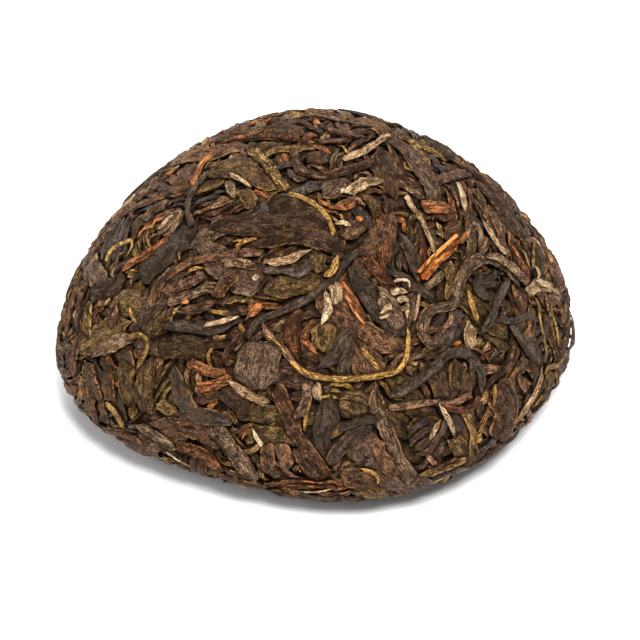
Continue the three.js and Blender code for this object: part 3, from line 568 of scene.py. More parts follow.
class Layers:
    """How deep the leaves laid so far reach, over the whole form"""

    def __init__(self, form):
        self.form = form
        self.depth = np.zeros(2 * form.SIDE * form.SIDE)

    def over(self, reach, bearing):
        """How deep the leaves laid so far reach at these places"""
        return self.depth[self.form.cell(reach, bearing)]

    def add(self, reach, bearing, depth):
        """Takes the room down to these depths, at points that lie closer together than the cells"""
        places = halfway(halfway(self.form.place(reach, bearing)).swapaxes(0, 1))
        depths = halfway(halfway(depth).T)
        np.maximum.at(self.depth, self.form.cell(*self.form.nearest(places)).ravel(), depths.ravel())


SHOWING = 0.02  # a leaf shows where less than this depth of others lies over it
DEEPEST = 3.2  # no leaf lies deeper
COLUMN = 0.82  # between the points across a leaf, in steps along it
COLUMNS = (4, 24)  # fewest and most of them
SPARE = 1.2  # length that is kept past the part that shows
FEWEST_RINGS = 5
FIT_REACH = 0.3  # over which a leaf's cover is softened, and along its middle line
LINE_REACH = 0.8
THICKEST = 0.7  # thickness that a leaf has at most, in widths
END_THICKNESS = 0.3  # share of the thickness that is left at the ends, and the length that it grows over
END_LENGTH = 1.5
DIP = 0.55  # how far an end dips at most, and the length that it dips over
DIP_LENGTH = 1.8
LEAN = 0.16  # how far one side lies lower than the other at most
SETTLED = 0.26  # how far a leaf lies under its cover at most
HIGHEST = 0.12  # how far relief rises over the form's face
RING_MARGIN = 3  # over which that rise fades towards the ring
# Cover also sets the painted shade: a leaf under this depth of others is painted at its darkest
SHADED = 1.5  # depth of cover at which a leaf counts as fully covered
# The edge carries a pale rim that is partly the leaf's own margin and partly painted highlight
EDGE_FROM = 0.78  # where the edge begins across half a leaf, and how far it takes to be all edge
EDGE_WIDTH = 0.15


class Piece:
    """The arrays of all the leaves of one kind, joined into one mesh"""

    def __init__(self):
        self.places, self.faces, self.corners, self.grain, self.tints, self.marks = [], [], [], [], [], []
        self.rects = []
        self.count = 0


def half_widths(leaf, kind, s, torn, rng, ripple):
    """The width on each side of the middle line, with torn or pointed ends and edges that wander"""
    tips = np.where(torn, rng.uniform(*TORN_TIP, 2), rng.uniform(*POINTED_TIP, 2)) * leaf.width
    tips = np.clip(tips, SHORTEST_TIP, LONGEST_TIP * s[-1])
    powers = np.where(torn, rng.uniform(*TORN_POWERS, 2), rng.uniform(*POINT_POWERS, 2))
    least = np.where(torn, TORN_WIDTH, POINT_WIDTH)
    full = np.ones(len(s))
    for from_end, tip, power, width in zip((s, s[-1] - s), tips, powers, least):
        full *= np.maximum((1 - (1 - np.clip(from_end / tip, 0, 1)) ** 2) ** power, width)
    full *= 1 + kind.pinch * ripple(s / PINCH_LENGTH + rng.uniform(0, 100), 9)
    sides = []
    for _ in range(2):
        phase = rng.uniform(0, 100, 3)
        wander = ripple(s / (1.3 * leaf.width + 0.6) + phase[0], phase[1])
        wander = wander + 0.5 * ripple(s / 0.7 + phase[2], 3)
        sides.append(leaf.width / 2 * full * (1 + kind.ragged * wander))
    return sides


# The stretch in which an end's slant fades: its least length, its length for each millimetre of slant,
# and the shares that the stretch may take of the leaf and the slant of the stretch
SLANT_FADE = 1.2
FADE_OF_SLANT = 2.4
LONGEST_FADE = 0.45
STEEPEST_SLANT = 0.42


def end_shift(leaf, s, c, torn, rng, ripple):
    """How far the points near both ends lie off their station, so that no end is cut square"""
    shift = np.zeros((len(s), len(c)))
    width = min(leaf.width, WIDEST_SLANT)
    for from_end, is_torn in zip((s, s[-1] - s), torn):
        slant = rng.uniform(-1, 1) * SLANTS[0 if is_torn else 1] * width
        jag = is_torn * JAGS * width * ripple(c * leaf.width / 1.1 + rng.uniform(0, 100), 4)
        off = slant * c / 2 + jag
        span = min(max(SLANT_FADE, FADE_OF_SLANT * np.abs(off).max()), LONGEST_FADE * s[-1])
        off = np.clip(off, -STEEPEST_SLANT * span, STEEPEST_SLANT * span)
        shift += np.clip(1 - from_end / span, 0, 1)[:, None] * off
    return shift


# The relief of a leaf. Laps: the length in which they wind round once at the tightest, and the share of
# a lap over which it falls to the next one
LAP_TURN = 8
LAP_FALL = 0.12
# Creases: how far they wander and slant, how wide and deep they are, and the swelling between them
CREASE_WANDER = 0.8
CREASE_SLANT = 0.12
CREASE_WIDTH = 0.35
CREASE_DEPTHS = (0.6, 1.2)
SWELLING = 0.4
# The midrib's wander, height and width, and the veins' slant, spacing and sharpness
MIDRIB_WANDER = 0.3
MIDRIB_HEIGHT = 1.5
MIDRIB_WIDTH = 0.22
VEIN_SLANT = 1.1
VEIN_SPACING = 1.7
VEIN_POWER = 6


def own_relief(leaf, kind, s, c, rng, ripple):
    """How far the top of a leaf rises from its smooth section: laps, creases, crumples and veins"""
    phase = rng.uniform(0, 100, 8)
    across = c * leaf.width / 2
    relief = np.zeros((len(s), len(c)))
    for _ in range(kind.laps):
        turns = rng.uniform(-1, 1) / LAP_TURN
        wave = 0.1 * ripple(s / 3 + phase[0], 1)[:, None]
        lap = (c / 2 + rng.uniform(0, 1) + turns * s[:, None] + wave) % 1
        relief += kind.lap_height * (lap - 0.5) * np.minimum(1, (1 - lap) / LAP_FALL)
    drift = CREASE_WANDER * ripple(s / 4 + phase[1], 5)[:, None]
    drift = drift + rng.uniform(-CREASE_SLANT, CREASE_SLANT) * s[:, None]
    along, over = kind.crease_size
    crease = np.abs(ripple(s[:, None] / along + phase[2], (across + drift) / over + phase[3]))
    relief -= kind.creases * np.maximum(0, 1 - crease / CREASE_WIDTH) ** 1.5 * rng.uniform(*CREASE_DEPTHS)
    relief += SWELLING * kind.creases * ripple(s[:, None] / (along * 0.6) + phase[4], across / (over * 1.3))
    along, over = kind.crumple_size
    fine = ripple(s[:, None] / along + phase[5], across / over + phase[6])
    relief += kind.crumple * (1 - 2 * np.abs(fine))
    if kind.veins:
        middle = across + MIDRIB_WANDER * ripple(s / 6 + phase[7], 2)[:, None]
        relief += MIDRIB_HEIGHT * kind.veins * np.exp(-((middle / MIDRIB_WIDTH) ** 2))
        slant = (s[:, None] - np.abs(across) * VEIN_SLANT) / VEIN_SPACING + 0.2 * fine
        relief += kind.veins * np.cos(2 * math.pi * slant) ** VEIN_POWER * np.minimum(1, np.abs(across))
    return relief


def lay_leaf(leaf, form, layers, rng, ripple, pieces):
    """Lays one leaf under those that already cover it, and adds it to its piece"""
    kind = KINDS[leaf.kind]
    route, s = smooth_route(leaf.points, leaf.step)
    reach, bearing = form.nearest(route)
    at, out = form.place(reach, bearing), form.out(reach, bearing)
    ahead = np.gradient(at, axis=0)
    ahead /= np.maximum(np.linalg.norm(ahead, axis=1), 1e-9)[:, None]
    side = np.cross(out, ahead)
    torn = (rng.uniform(0, 1, 2) < kind.torn) | (leaf.width > BROAD * s[-1])
    left, right = half_widths(leaf, kind, s, torn, rng, ripple)

    pitch = COLUMN * leaf.step
    columns = int(np.clip(leaf.width / pitch, *COLUMNS))
    c = np.concatenate([(-1, -0.93), np.linspace(-0.8, 0.8, columns), (0.93, 1), (0,)])
    top = len(c) - 1
    is_top = np.arange(len(c)) < top
    x = np.where(c < 0, left[:, None], right[:, None]) * c
    shift = end_shift(leaf, s, c, torn, rng, ripple)
    r, b = form.nearest(at[:, None] + side[:, None] * x[..., None] + ahead[:, None] * shift[..., None])

    # What lies over it, and the part of it that shows
    cover = layers.over(r, b)
    shows = cover[:, 1:top - 1] < SHOWING
    seen = np.flatnonzero(shows.any(axis=1))
    if shows.mean() < leaf.least_seen or len(seen) == 0:
        return
    spare = int(SPARE / leaf.step)
    keep = slice(max(seen[0] - spare, 0), min(seen[-1] + spare, len(s)) + 1)
    if keep.stop - keep.start < FEWEST_RINGS:
        return
    length = s[-1]
    relief = own_relief(leaf, kind, s, c, rng, ripple)
    s, r, b, cover, relief = s[keep], r[keep], b[keep], cover[keep], relief[keep]

    # It fits itself to what lies over it, and dips further where something crosses its whole width
    fit = softened(widened(cover[:, :top], 1), FIT_REACH / leaf.step)
    fit = softened(widened(fit.T, 1), FIT_REACH / pitch).T
    line = softened(cover[:, :top].max(axis=1), LINE_REACH / leaf.step)
    fit = np.maximum(fit, leaf.stiff * line[:, None])
    middle = int(np.abs(c[:top]).argmin())
    fit = np.concatenate([fit, fit[:, [middle]]], axis=1)

    # Its section, thinner at the ends, which dip a little
    bulge = np.maximum(1 - np.abs(c) ** kind.flatness, 0) ** 0.5
    thick = min(kind.thickness, THICKEST * leaf.width) / 2
    body = thick * np.where(is_top, 1 - bulge, 1 + bulge)
    fade = END_THICKNESS + (1 - END_THICKNESS) * np.clip(np.minimum(s, length - s) / END_LENGTH, 0, 1)
    dip = sum(d * np.clip(1 - from_end / DIP_LENGTH, 0, 1) ** 2
              for d, from_end in zip(rng.uniform(0, DIP, 2), (s, length - s)))
    lean = rng.uniform(-LEAN, LEAN) * c
    offset = rng.uniform(0.0, SETTLED) + dip + 0.1 * ripple(s / 5 + rng.uniform(0, 90), 7)
    relief *= is_top * fade[:, None] * np.minimum(1, (1 - np.abs(c)) * 5 + 0.3)

    depth = fit + lean + offset[:, None] + body * fade[:, None] - relief
    off_ring = np.clip(np.abs(r - (form.ring_reach + form.hollow_reach) / 2) / RING_MARGIN, 0, 1)
    points = form.place(r, b, sunk(np.maximum(depth, -HIGHEST * off_ring), DEEPEST))
    points[..., 2] = np.maximum(points[..., 2], 0)

    floor = fit + offset[:, None] + 2 * thick * fade[:, None] * np.sqrt(np.maximum(1 - c**2, 0.35))
    layers.add(r[:, is_top], b[:, is_top], floor[:, is_top])

    # Marks for the colour: the relief paints shade in the hollows and dust and sheen on the ridges, the cover
    # paints shade under other leaves, and the edge takes a pale rim that is partly painted highlight
    level = np.clip(0.5 + (relief - 0.25 * body) / 0.5, 0, 1)
    edge = is_top * np.clip((np.abs(c) - EDGE_FROM) / EDGE_WIDTH, 0, 1) + 0 * level
    marks = np.stack([level, np.clip(fit / SHADED, 0, 1), edge], axis=-1)
    light, stain, hue = rng.uniform(0, 1, 3)
    tint = (leaf.shade, 0.5 + (light - 0.5) * leaf.vary, stain, 0.5 + (hue - 0.5) * leaf.vary)
    width_at = np.append(c, c[0]) * leaf.width / 2
    girth = np.concatenate([[0], np.cumsum(np.hypot(np.diff(width_at), np.diff(np.append(body, body[0]))))])
    add_mesh(pieces.setdefault(leaf.kind, Piece()), points, marks, tint, s, girth, rng.uniform(0, 400, 2))


def closed_rings(n, m, start=0):
    """The faces of n rings of m points, closed by a fan round each of the two points that come after them"""
    rings = np.arange(n * m).reshape(n, m) + start
    turned = np.roll(rings, -1, axis=1)
    quads = np.stack([rings[:-1], rings[1:], turned[1:], turned[:-1]], axis=-1).reshape(-1, 4)
    first, last = start + n * m, start + n * m + 1
    fans = np.concatenate([
        np.stack([np.full(m, first), rings[0], turned[0]], axis=-1),
        np.stack([np.full(m, last), turned[-1], rings[-1]], axis=-1),
    ])
    return quads, fans


def add_mesh(piece, points, marks, tint, s, girth, grain):
    """Adds a leaf's rings to its piece, closed at each tip by a fan"""
    n, m = points.shape[:2]
    piece.places.append(np.vstack([points.reshape(-1, 3), points[0].mean(axis=0), points[-1].mean(axis=0)]))
    quads, fans = closed_rings(n, m, piece.count)
    u0, u1 = np.broadcast_to(girth[:-1], (n - 1, m)), np.broadcast_to(girth[1:], (n - 1, m))
    v0, v1 = np.broadcast_to(s[:-1, None], (n - 1, m)), np.broadcast_to(s[1:, None], (n - 1, m))
    quad_uv = np.stack([u0, v0, u0, v1, u1, v1, u1, v0], axis=-1).reshape(-1, 2)
    mid = (girth[:-1] + girth[1:]) / 2
    low, high = np.full(m, s[0]), np.full(m, s[-1])
    fan_uv = np.concatenate([
        np.stack([mid, low - 0.1, girth[:-1], low, girth[1:], low], axis=-1).reshape(-1, 2),
        np.stack([mid, high + 0.1, girth[1:], high, girth[:-1], high], axis=-1).reshape(-1, 2),
    ])
    piece.faces.append((quads, fans))
    piece.corners.append((quad_uv, fan_uv))
    piece.rects.append((girth[-1], s[0] - 0.1, s[-1] + 0.1))
    piece.grain.append(grain)
    piece.tints.append(np.broadcast_to(tint, (n * m + 2, 4)))
    flat = marks.reshape(n * m, -1)
    piece.marks.append(np.vstack([flat, flat[:1], flat[-1:]]))
    piece.count += n * m + 2


def dice(seed):
    """The seeded list of random numbers that the solid's leaves are spread by"""
    state = seed

    def draw(low, high):
        nonlocal state
        state = state * 48271 % 2147483647
        return low + (high - low) * state / 2147483647

    return draw


WALK_PARTS = 2  # points on each side of a leaf's middle


def walk(form, middle, heading, length, bend):
    """The points of a leaf that lies round its middle and bends evenly"""
    def half(turn, turning):
        """The points from the middle to one end"""
        points, at, ahead = [], middle, heading + turn
        for _ in range(WALK_PARTS):
            reach, bearing = form.nearest(at)
            out = form.out(reach, bearing)
            east = np.array([-at[1], at[0], 0.0])
            east /= max(np.linalg.norm(east), 1e-9)
            down = np.cross(east, out)
            eastward = east * math.cos(ahead) * length / (2 * WALK_PARTS)
            downward = down * math.sin(ahead) * length / (2 * WALK_PARTS)
            at = at + eastward + downward
            at = form.place(*form.nearest(at))
            points.append(at)
            ahead += turning
        return points

    return np.array([*half(math.pi, -bend)[::-1], middle, *half(0, bend)])


def area_reaches(form, near, far):
    """A function that turns an even share into a reach, so that places are spread evenly by area"""
    steps = 60
    reach = near + (far - near) * (np.arange(steps) + 0.5) / steps
    areas = np.concatenate([[0], np.cumsum(np.interp(reach, form.reaches, form.outline[:, 0]))])
    return lambda share: float(np.interp(share * areas[-1], areas, np.linspace(near, far, steps + 1)))


SHARES = {
    "wide": (("brown leaf", 0.45), ("olive leaf", 0.35), ("grey leaf", 0.2)),
    "strip": (("brown", 0.31), ("black", 0.23), ("grey", 0.16), ("olive", 0.13), ("russet", 0.11),
              ("pale", 0.02), ("gold", 0.04)),
    "scrap": (("brown", 0.26), ("olive", 0.21), ("russet", 0.23), ("grey", 0.12), ("pale", 0.04),
              ("gold", 0.14)),
    "backing": (("brown leaf", 0.6), ("olive leaf", 0.4)),
}


def pick(rng, shares):
    """One of the names, by their shares"""
    names, weights = zip(*shares)
    return names[int(np.searchsorted(np.cumsum(weights) / sum(weights), rng.uniform()))]


SHADE_MEAN = 0.4
SHADE_SPREAD = 0.24


def shade_of(rng):
    """A shade from deepest (0) to brightest (1), most often a little under the middle"""
    return float(np.clip(rng.normal(SHADE_MEAN, SHADE_SPREAD), 0, 1))


def sketched_leaves(form):
    """The leaves of the sketch, from the highest to the lowest"""
    routes = form.cast([v for row in SKETCHED for v in row[-1]])
    ends = np.cumsum([len(row[-1]) // 2 for row in SKETCHED])[:-1]
    leaves = []
    for (_, kind, shade, pixels, _), points in zip(SKETCHED, np.split(routes, ends)):
        width = SKETCHED_WIDER.get(kind, SKETCHED_WIDER["others"]) * pixels / PIXELS_PER_MM
        leaves.append(Leaf(kind, shade, width, points, step=SKETCHED_STEP, least_seen=0.0,
                           stiff=SKETCHED_STIFF, vary=SKETCHED_VARY))
    return leaves[::-1]


def scattered_leaves(form, rng):
    """The leaves that the solid has besides those of the sketch"""
    draw = dice(SCATTER_SEED)
    leaves = []
    spans = ((SCATTERED["sides"], 0, form.ring_reach),
             (SCATTERED["hollow"], form.hollow_reach, form.end_reach - LEAST_HOLLOW_RADIUS))
    for count, near, far in spans:
        reach_of = area_reaches(form, near, far)
        for n in range(count):
            reach = reach_of((0.5 + n * EVEN_STEPS["reach"]) % 1)
            middle = form.place(np.array(reach), np.array(n * EVEN_STEPS["bearing"] * 2 * math.pi))
            heading, length = draw(0, math.pi), draw(*SCATTER_LENGTHS)
            width, bend = draw(*SCATTER_WIDTHS), draw(-0.5, 0.5)
            if middle[1] < SKETCHED_SIDE and n % 2:
                continue
            kind = pick(rng, SHARES["wide"] if width > SCATTERED_FLAT else SHARES["strip"])
            if "leaf" not in kind:
                width *= SCATTERED_ROLLED
            points = walk(form, middle, heading, length, bend)
            leaves.append(Leaf(kind, shade_of(rng), width, points, step=0.34, least_seen=0.1,
                               stiff=0.3, vary=1.0))
    return leaves


class Sort(NamedTuple):
    """A sort of filling leaf: its kinds, lengths, widths, bend, how many lie side by side, the least
    share of it that shows, and the steps of its mesh"""

    shares: str
    lengths: tuple
    widths: tuple
    bend: float
    beside: tuple
    least_seen: float
    step: float


SORTS = {
    "scrap": Sort("scrap", (2.5, 9), (0.4, 0.9), 0.6, (1, 2), 0.3, 0.38),
    "wide": Sort("wide", (6, 14), (2.4, 4.6), 0.3, (1, 2), 0.3, 0.48),
    "long": Sort("strip", (12, 30), (0.9, 2.0), 0.45, (2, 4), 0.25, 0.45),
    "short": Sort("strip", (6, 14), (0.8, 1.7), 0.6, (1, 4), 0.3, 0.45),
    "bit": Sort("scrap", (2.5, 6), (0.6, 1.3), 0.8, (1, 3), 0.4, 0.4),
    "wide bit": Sort("wide", (2.5, 6), (1.5, 3.0), 0.4, (1, 1), 0.4, 0.45),
    "backing": Sort("backing", (3, 8), (1.8, 3.6), 0.4, (1, 1), 0.05, 0.7),
}
SCRAPS_BRIGHTER = 0.15  # how much brighter a scrap's shade is
BRIGHTEST_PALE = 0.4
THIN_STEMS = (0.3, 0.75)  # widths that golden and pale stems stay under

# Leaves that lie side by side: the share of them that are of another kind, each one's own width and
# length as shares of the bundle's, their spacing in widths, how far each slides along, and how far its
# direction, bend and shade stray
OTHER_KIND = 0.45
OWN_WIDTHS = (0.7, 1.2)
OWN_LENGTHS = (0.6, 1.05)
SPACING = 0.95
SLIDE = 0.15
OWN_STRAY = 0.08
OWN_SHADE = 0.14

# The drift of the directions: how far it turns, its size along and up, and how far a leaf strays from it
DRIFT_TURN = 4
DRIFT_SIZE = 17
DRIFT_RISE = 11
STRAY = 0.45
LEVEL_REACH = 62  # where most leaves lie level, near the waist, and how far that goes
LEVEL_SPREAD = 16
LEVEL_SHARE = 0.7


def drift_at(middle, reach, rng, ripple):
    """The direction of the leaves round a place: they drift together, and lie level near the waist"""
    along, up = middle[0] / DRIFT_SIZE + 40, middle[1] / DRIFT_SIZE + middle[2] / DRIFT_RISE
    heading = DRIFT_TURN * ripple(along, up)
    if rng.uniform() < LEVEL_SHARE * math.exp(-((reach - LEVEL_REACH) / LEVEL_SPREAD) ** 2):
        heading = 0.0
    return float(heading) + rng.normal(0, STRAY)


def bundle(form, rng, sort, middle, heading):
    """A few leaves that lie side by side"""
    count = int(rng.integers(sort.beside[0], sort.beside[1] + 1))
    width, length, bend = rng.uniform(*sort.widths), rng.uniform(*sort.lengths), rng.normal(0, sort.bend)
    kind = pick(rng, SHARES[sort.shares])
    shade = shade_of(rng) + (SCRAPS_BRIGHTER if sort.shares == "scrap" else 0)
    out = form.out(*form.nearest(middle))
    east = np.array([-middle[1], middle[0], 0.0]) / max(math.hypot(middle[0], middle[1]), 1e-9)
    down = np.cross(east, out)
    ahead = east * math.cos(heading) + down * math.sin(heading)
    beside = np.cross(out, ahead)
    for k in range(count):
        if k and rng.uniform() < OTHER_KIND:
            kind = pick(rng, SHARES[sort.shares])
        if k and kind == "pale":
            kind = "brown"
        own = width * rng.uniform(*OWN_WIDTHS)
        if kind in ("gold", "pale"):
            own = min(own, rng.uniform(*THIN_STEMS))
        shift = beside * (k - (count - 1) / 2) * width * SPACING + ahead * length * rng.uniform(-SLIDE, SLIDE)
        points = walk(form, form.place(*form.nearest(middle + shift)), heading + rng.normal(0, OWN_STRAY),
                      length * rng.uniform(*OWN_LENGTHS), bend + rng.normal(0, OWN_STRAY))
        brightest = BRIGHTEST_PALE if kind == "pale" else 1
        own_shade = float(np.clip(shade + rng.normal(0, OWN_SHADE), 0, brightest))
        yield Leaf(kind, own_shade, own, points, sort.step, sort.least_seen, stiff=0.25, vary=1.0)


END_MARGIN = 0.2  # no filling leaf's middle lies closer to the form's ends
FIRST_SHARE = 0.31  # where the places that are tried start
FIRST_BEARING = 0.4


def filling_leaves(form, layers, rng, ripple, counts):
    """More leaves, round by round: each round tries so many places and mixes its sorts by weight"""
    rounds = (
        (counts[0], (("scrap", 1.0),)),
        (counts[1], (("wide", 0.25), ("long", 0.4), ("short", 0.35))),
        (counts[2], (("wide", 0.12), ("long", 0.15), ("short", 0.48), ("bit", 0.15), ("wide bit", 0.1))),
        (counts[3], (("bit", 0.45), ("wide bit", 0.25), ("short", 0.3))),
        (counts[4], (("backing", 1.0),)),
    )
    n = 0
    reach_of = area_reaches(form, END_MARGIN, form.end_reach - END_MARGIN)
    for count, mix in rounds:
        for _ in range(count):
            n += 1
            reach = reach_of((FIRST_SHARE + n * EVEN_STEPS["reach"]) % 1)
            bearing = n * EVEN_STEPS["bearing"] * 2 * math.pi + FIRST_BEARING
            place = np.array(reach), np.array(bearing)
            if layers.over(*place) > SHOWING:
                continue
            middle = form.place(*place)
            yield from bundle(form, rng, SORTS[pick(rng, mix)], middle, drift_at(middle, reach, rng, ripple))


@functools.cache
def laid_cake(sizes, seed, counts):
    """Lays every leaf, from the top down, and keeps the result for the operators that use it"""
    form = Form(sizes)
    layers = Layers(form)
    rng = np.random.default_rng(seed)
    ripple = Ripple(seed + 1)
    pieces = {}
    for leaf in (*sketched_leaves(form), *scattered_leaves(form, rng)):
        lay_leaf(leaf, form, layers, rng, ripple, pieces)
    for leaf in filling_leaves(form, layers, rng, ripple, counts):
        lay_leaf(leaf, form, layers, rng, ripple, pieces)
    return form, layers, pieces, ripple


def packed(rects, gap=0.12):
    """Places each leaf's own rectangle in one square, in rows from the longest to the shortest"""
    wide = np.array([r[0] + gap for r in rects])
    long = np.array([r[2] - r[1] + gap for r in rects])
    order = np.argsort(-long)
    side = math.sqrt((wide * long).sum()) * 1.02
    while True:
        x = y = row = 0.0
        corner = np.zeros((len(rects), 2))
        for k in order:
            if x + wide[k] > side:
                x, y, row = 0.0, y + row, 0.0
            row = max(row, long[k])
            corner[k] = x, y
            x += wide[k]
        if y + row <= side and wide.max() <= side:
            return corner, side
        side *= 1.02


def joined_mesh(name, piece):
    """One mesh of all the leaves of a piece, with their maps and marks"""
    corner, side = packed(piece.rects)
    mesh = bpy.data.meshes.new(name)
    quads = np.concatenate([q for q, _ in piece.faces])
    fans = np.concatenate([f for _, f in piece.faces])
    places = np.concatenate(piece.places) * MM
    mesh.vertices.add(len(places))
    mesh.vertices.foreach_set("co", places.astype(np.float32).ravel())
    mesh.loops.add(4 * len(quads) + 3 * len(fans))
    mesh.loops.foreach_set("vertex_index", np.concatenate([quads.ravel(), fans.ravel()]).astype(np.int32))
    mesh.polygons.add(len(quads) + len(fans))
    starts = np.concatenate([4 * np.arange(len(quads)), 4 * len(quads) + 3 * np.arange(len(fans))])
    mesh.polygons.foreach_set("loop_start", starts.astype(np.int32))
    mesh.polygons.foreach_set("use_smooth", np.ones(len(starts), bool))
    for label, shift, scale in (
        ("Grain", piece.grain, 1.0),
        ("OFBake", [(x, y - r[1]) for (x, y), r in zip(corner, piece.rects)], 1 / side),
    ):
        layer = mesh.uv_layers.new(name=label)
        values = [np.concatenate([uv[part] + at for uv, at in zip(piece.corners, shift)]) for part in (0, 1)]
        layer.uv.foreach_set("vector", (np.concatenate(values) * scale).astype(np.float32).ravel())
    tint = mesh.attributes.new("tint", "FLOAT_COLOR", "POINT")
    tint.data.foreach_set("color", np.concatenate(piece.tints).astype(np.float32).ravel())
    marks = np.concatenate(piece.marks).astype(np.float32)
    for k, label in enumerate(("relief", "cover", "edge")):
        mark = mesh.attributes.new(label, "FLOAT", "POINT")
        mark.data.foreach_set("value", np.ascontiguousarray(marks[:, k]))
    mesh.update(calc_edges=True)
    mesh.validate()
    return mesh


def finish_piece(name, mesh, material):
    """Puts a mesh in the scene as a piece that stands for the cake's solid"""
    mesh.materials.append(material)
    piece = bpy.data.objects.new(name, mesh)
    bpy.context.scene.collection.objects.link(piece)
    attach(piece, BODY)
    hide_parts(NODE)


class Nodes:
    """Adds shader nodes to one tree and joins them"""

    def __init__(self, tree):
        self.tree = tree

    def add(self, kind, **settings):
        """A new node with these settings"""
        node = self.tree.nodes.new(kind)
        for key, value in settings.items():
            setattr(node, key, value)
        return node

    def put(self, socket, value):
        """Joins another node's output to a socket, or sets its value"""
        if isinstance(value, bpy.types.NodeSocket):
            self.tree.links.new(value, socket)
        elif value is not None:
            socket.default_value = value

    def math(self, operation, a, b=None, clamp=False):
        """The output of a sum of one or two values"""
        node = self.add("ShaderNodeMath", operation=operation, use_clamp=clamp)
        self.put(node.inputs[0], a)
        self.put(node.inputs[1], b)
        return node.outputs[0]

    def mix(self, share, a, b, blend="MIX"):
        """Two colours mixed by a share of the second"""
        node = self.add("ShaderNodeMix", data_type="RGBA", blend_type=blend)
        self.put(node.inputs["Factor"], share)
        self.put(node.inputs["A"], a)
        self.put(node.inputs["B"], b)
        return node.outputs["Result"]

    def spread(self, value, low, high, to_low=0.0, to_high=1.0):
        """A value that goes smoothly from to_low to to_high as the given one goes from low to high"""
        node = self.add("ShaderNodeMapRange", interpolation_type="SMOOTHSTEP")
        for socket, v in zip(node.inputs, (value, low, high, to_low, to_high)):
            self.put(socket, v)
        return node.outputs[0]

    def noise(self, vector, scale, detail=3.0, roughness=0.55):
        """The value of a noise pattern"""
        node = self.add("ShaderNodeTexNoise")
        self.put(node.inputs["Vector"], vector)
        self.put(node.inputs["Scale"], scale)
        self.put(node.inputs["Detail"], detail)
        self.put(node.inputs["Roughness"], roughness)
        return node.outputs[0]

    def scaled(self, vector, scale):
        """A place multiplied by a scale"""
        node = self.add("ShaderNodeMapping")
        self.put(node.inputs["Vector"], vector)
        node.inputs["Scale"].default_value = scale
        return node.outputs[0]


def new_group(name, inputs, outputs):
    """A shader node group with named sockets: the group, and its nodes, inputs and outputs if it is new"""
    old = bpy.data.node_groups.get(name)
    if old:
        return old, None, None, None
    group = bpy.data.node_groups.new(name, "ShaderNodeTree")
    for way, sockets in (("INPUT", inputs), ("OUTPUT", outputs)):
        for label, kind, value in sockets:
            socket = group.interface.new_socket(label, in_out=way, socket_type=f"NodeSocket{kind}")
            if value is not None:
                socket.default_value = value
    nodes = Nodes(group)
    start, end = nodes.add("NodeGroupInput"), nodes.add("NodeGroupOutput")
    return group, nodes, start.outputs, end.inputs


# Patterns for each metre, and the shares of the leaf's relief that its fibres, specks and creases raise
BLOTCHES = 800.0
PATCHES = 300.0
SPECKS = 5200.0
FIBRE_RELIEF = 0.7
SPECK_RELIEF = 0.4
CREASE_RELIEF = 0.4
FOLD_WIDTH = 0.045
BEND_OF_FIBRES = 1.8


def grain_group():
    """Fibres, creases, blotches and specks of a leaf, and the height that they raise"""
    group, nodes, inside, out = new_group(
        "Tea grain",
        [("Fibre width", "Float", 5.0), ("Fibre length", "Float", 0.5)],
        [(label, "Float", None) for label in ("Fibre", "Crease", "Blotch", "Patch", "Speck", "Height")],
    )
    if nodes is None:
        return group
    parts = nodes.add("ShaderNodeSeparateXYZ")
    grain = nodes.add("ShaderNodeUVMap", uv_map="Grain").outputs[0]
    nodes.put(parts.inputs[0], grain)
    warp = nodes.math("SUBTRACT", nodes.noise(nodes.scaled(grain, (0.7, 0.4, 1)), 1.0, 3.0), 0.5)
    across = nodes.math("ADD", parts.outputs[0], nodes.math("MULTIPLY", warp, BEND_OF_FIBRES))
    wide = nodes.math("MULTIPLY", across, inside["Fibre width"])
    long = nodes.math("MULTIPLY", parts.outputs[1], inside["Fibre length"])

    def strands(width_share, length_share, shift, detail):
        """A noise drawn out along the leaf"""
        joined = nodes.add("ShaderNodeCombineXYZ")
        nodes.put(joined.inputs[0], nodes.math("MULTIPLY", wide, width_share))
        nodes.put(joined.inputs[1], nodes.math("MULTIPLY", long, length_share))
        nodes.put(joined.inputs[2], shift)
        return nodes.noise(joined.outputs[0], 1.0, detail, 0.65)

    fibre = strands(1.0, 1.0, 0.0, 4.0)
    fold = nodes.math("ABSOLUTE", nodes.math("SUBTRACT", strands(0.36, 0.8, 7.0, 2.0), 0.5))
    crease = nodes.spread(fold, FOLD_WIDTH, 0.0)
    place = nodes.add("ShaderNodeTexCoord").outputs["Object"]
    blotch = nodes.noise(place, BLOTCHES, 4.0, 0.65)
    patch = nodes.noise(nodes.scaled(place, (1, 1, 1.3)), PATCHES, 3.0, 0.55)
    speck = nodes.noise(place, SPECKS, 2.0, 0.7)
    nodes.put(out["Fibre"], nodes.spread(fibre, 0.34, 0.66))
    nodes.put(out["Crease"], crease)
    nodes.put(out["Blotch"], nodes.spread(blotch, 0.36, 0.64))
    nodes.put(out["Patch"], nodes.spread(patch, 0.5, 0.62))
    nodes.put(out["Speck"], nodes.spread(speck, 0.38, 0.64))
    height = nodes.math("ADD", nodes.math("MULTIPLY", fibre, FIBRE_RELIEF),
                        nodes.math("MULTIPLY", speck, SPECK_RELIEF))
    nodes.put(out["Height"], nodes.math("SUBTRACT", height, nodes.math("MULTIPLY", crease, CREASE_RELIEF)))
    return group


# How far a leaf's shade wanders with each pattern
SHADE_BY = {"Blotch": 0.22, "Speck": 0.32, "Fibre": 0.36}
RED_CAST = (1.07, 0.94, 0.98, 1)  # colours that a leaf's own is multiplied by, by its hue
WARM_CAST = (1.03, 1.0, 0.93, 1)
YELLOW_CAST = (1.02, 1.02, 0.77, 1)
COLD_CAST = (0.92, 1.0, 1.22, 1)  # of some black strips, where other kinds turn yellow
LIGHTS_OF_LEAVES = (0.72, 1.28)  # how much darker and lighter a leaf is than its kind
# Painted shade: the dark colour that a leaf's hollows, creases and covered parts are mixed towards
PAINTED_GROOVE_SHADE = (0.008, 0.0035, 0.0015, 1)


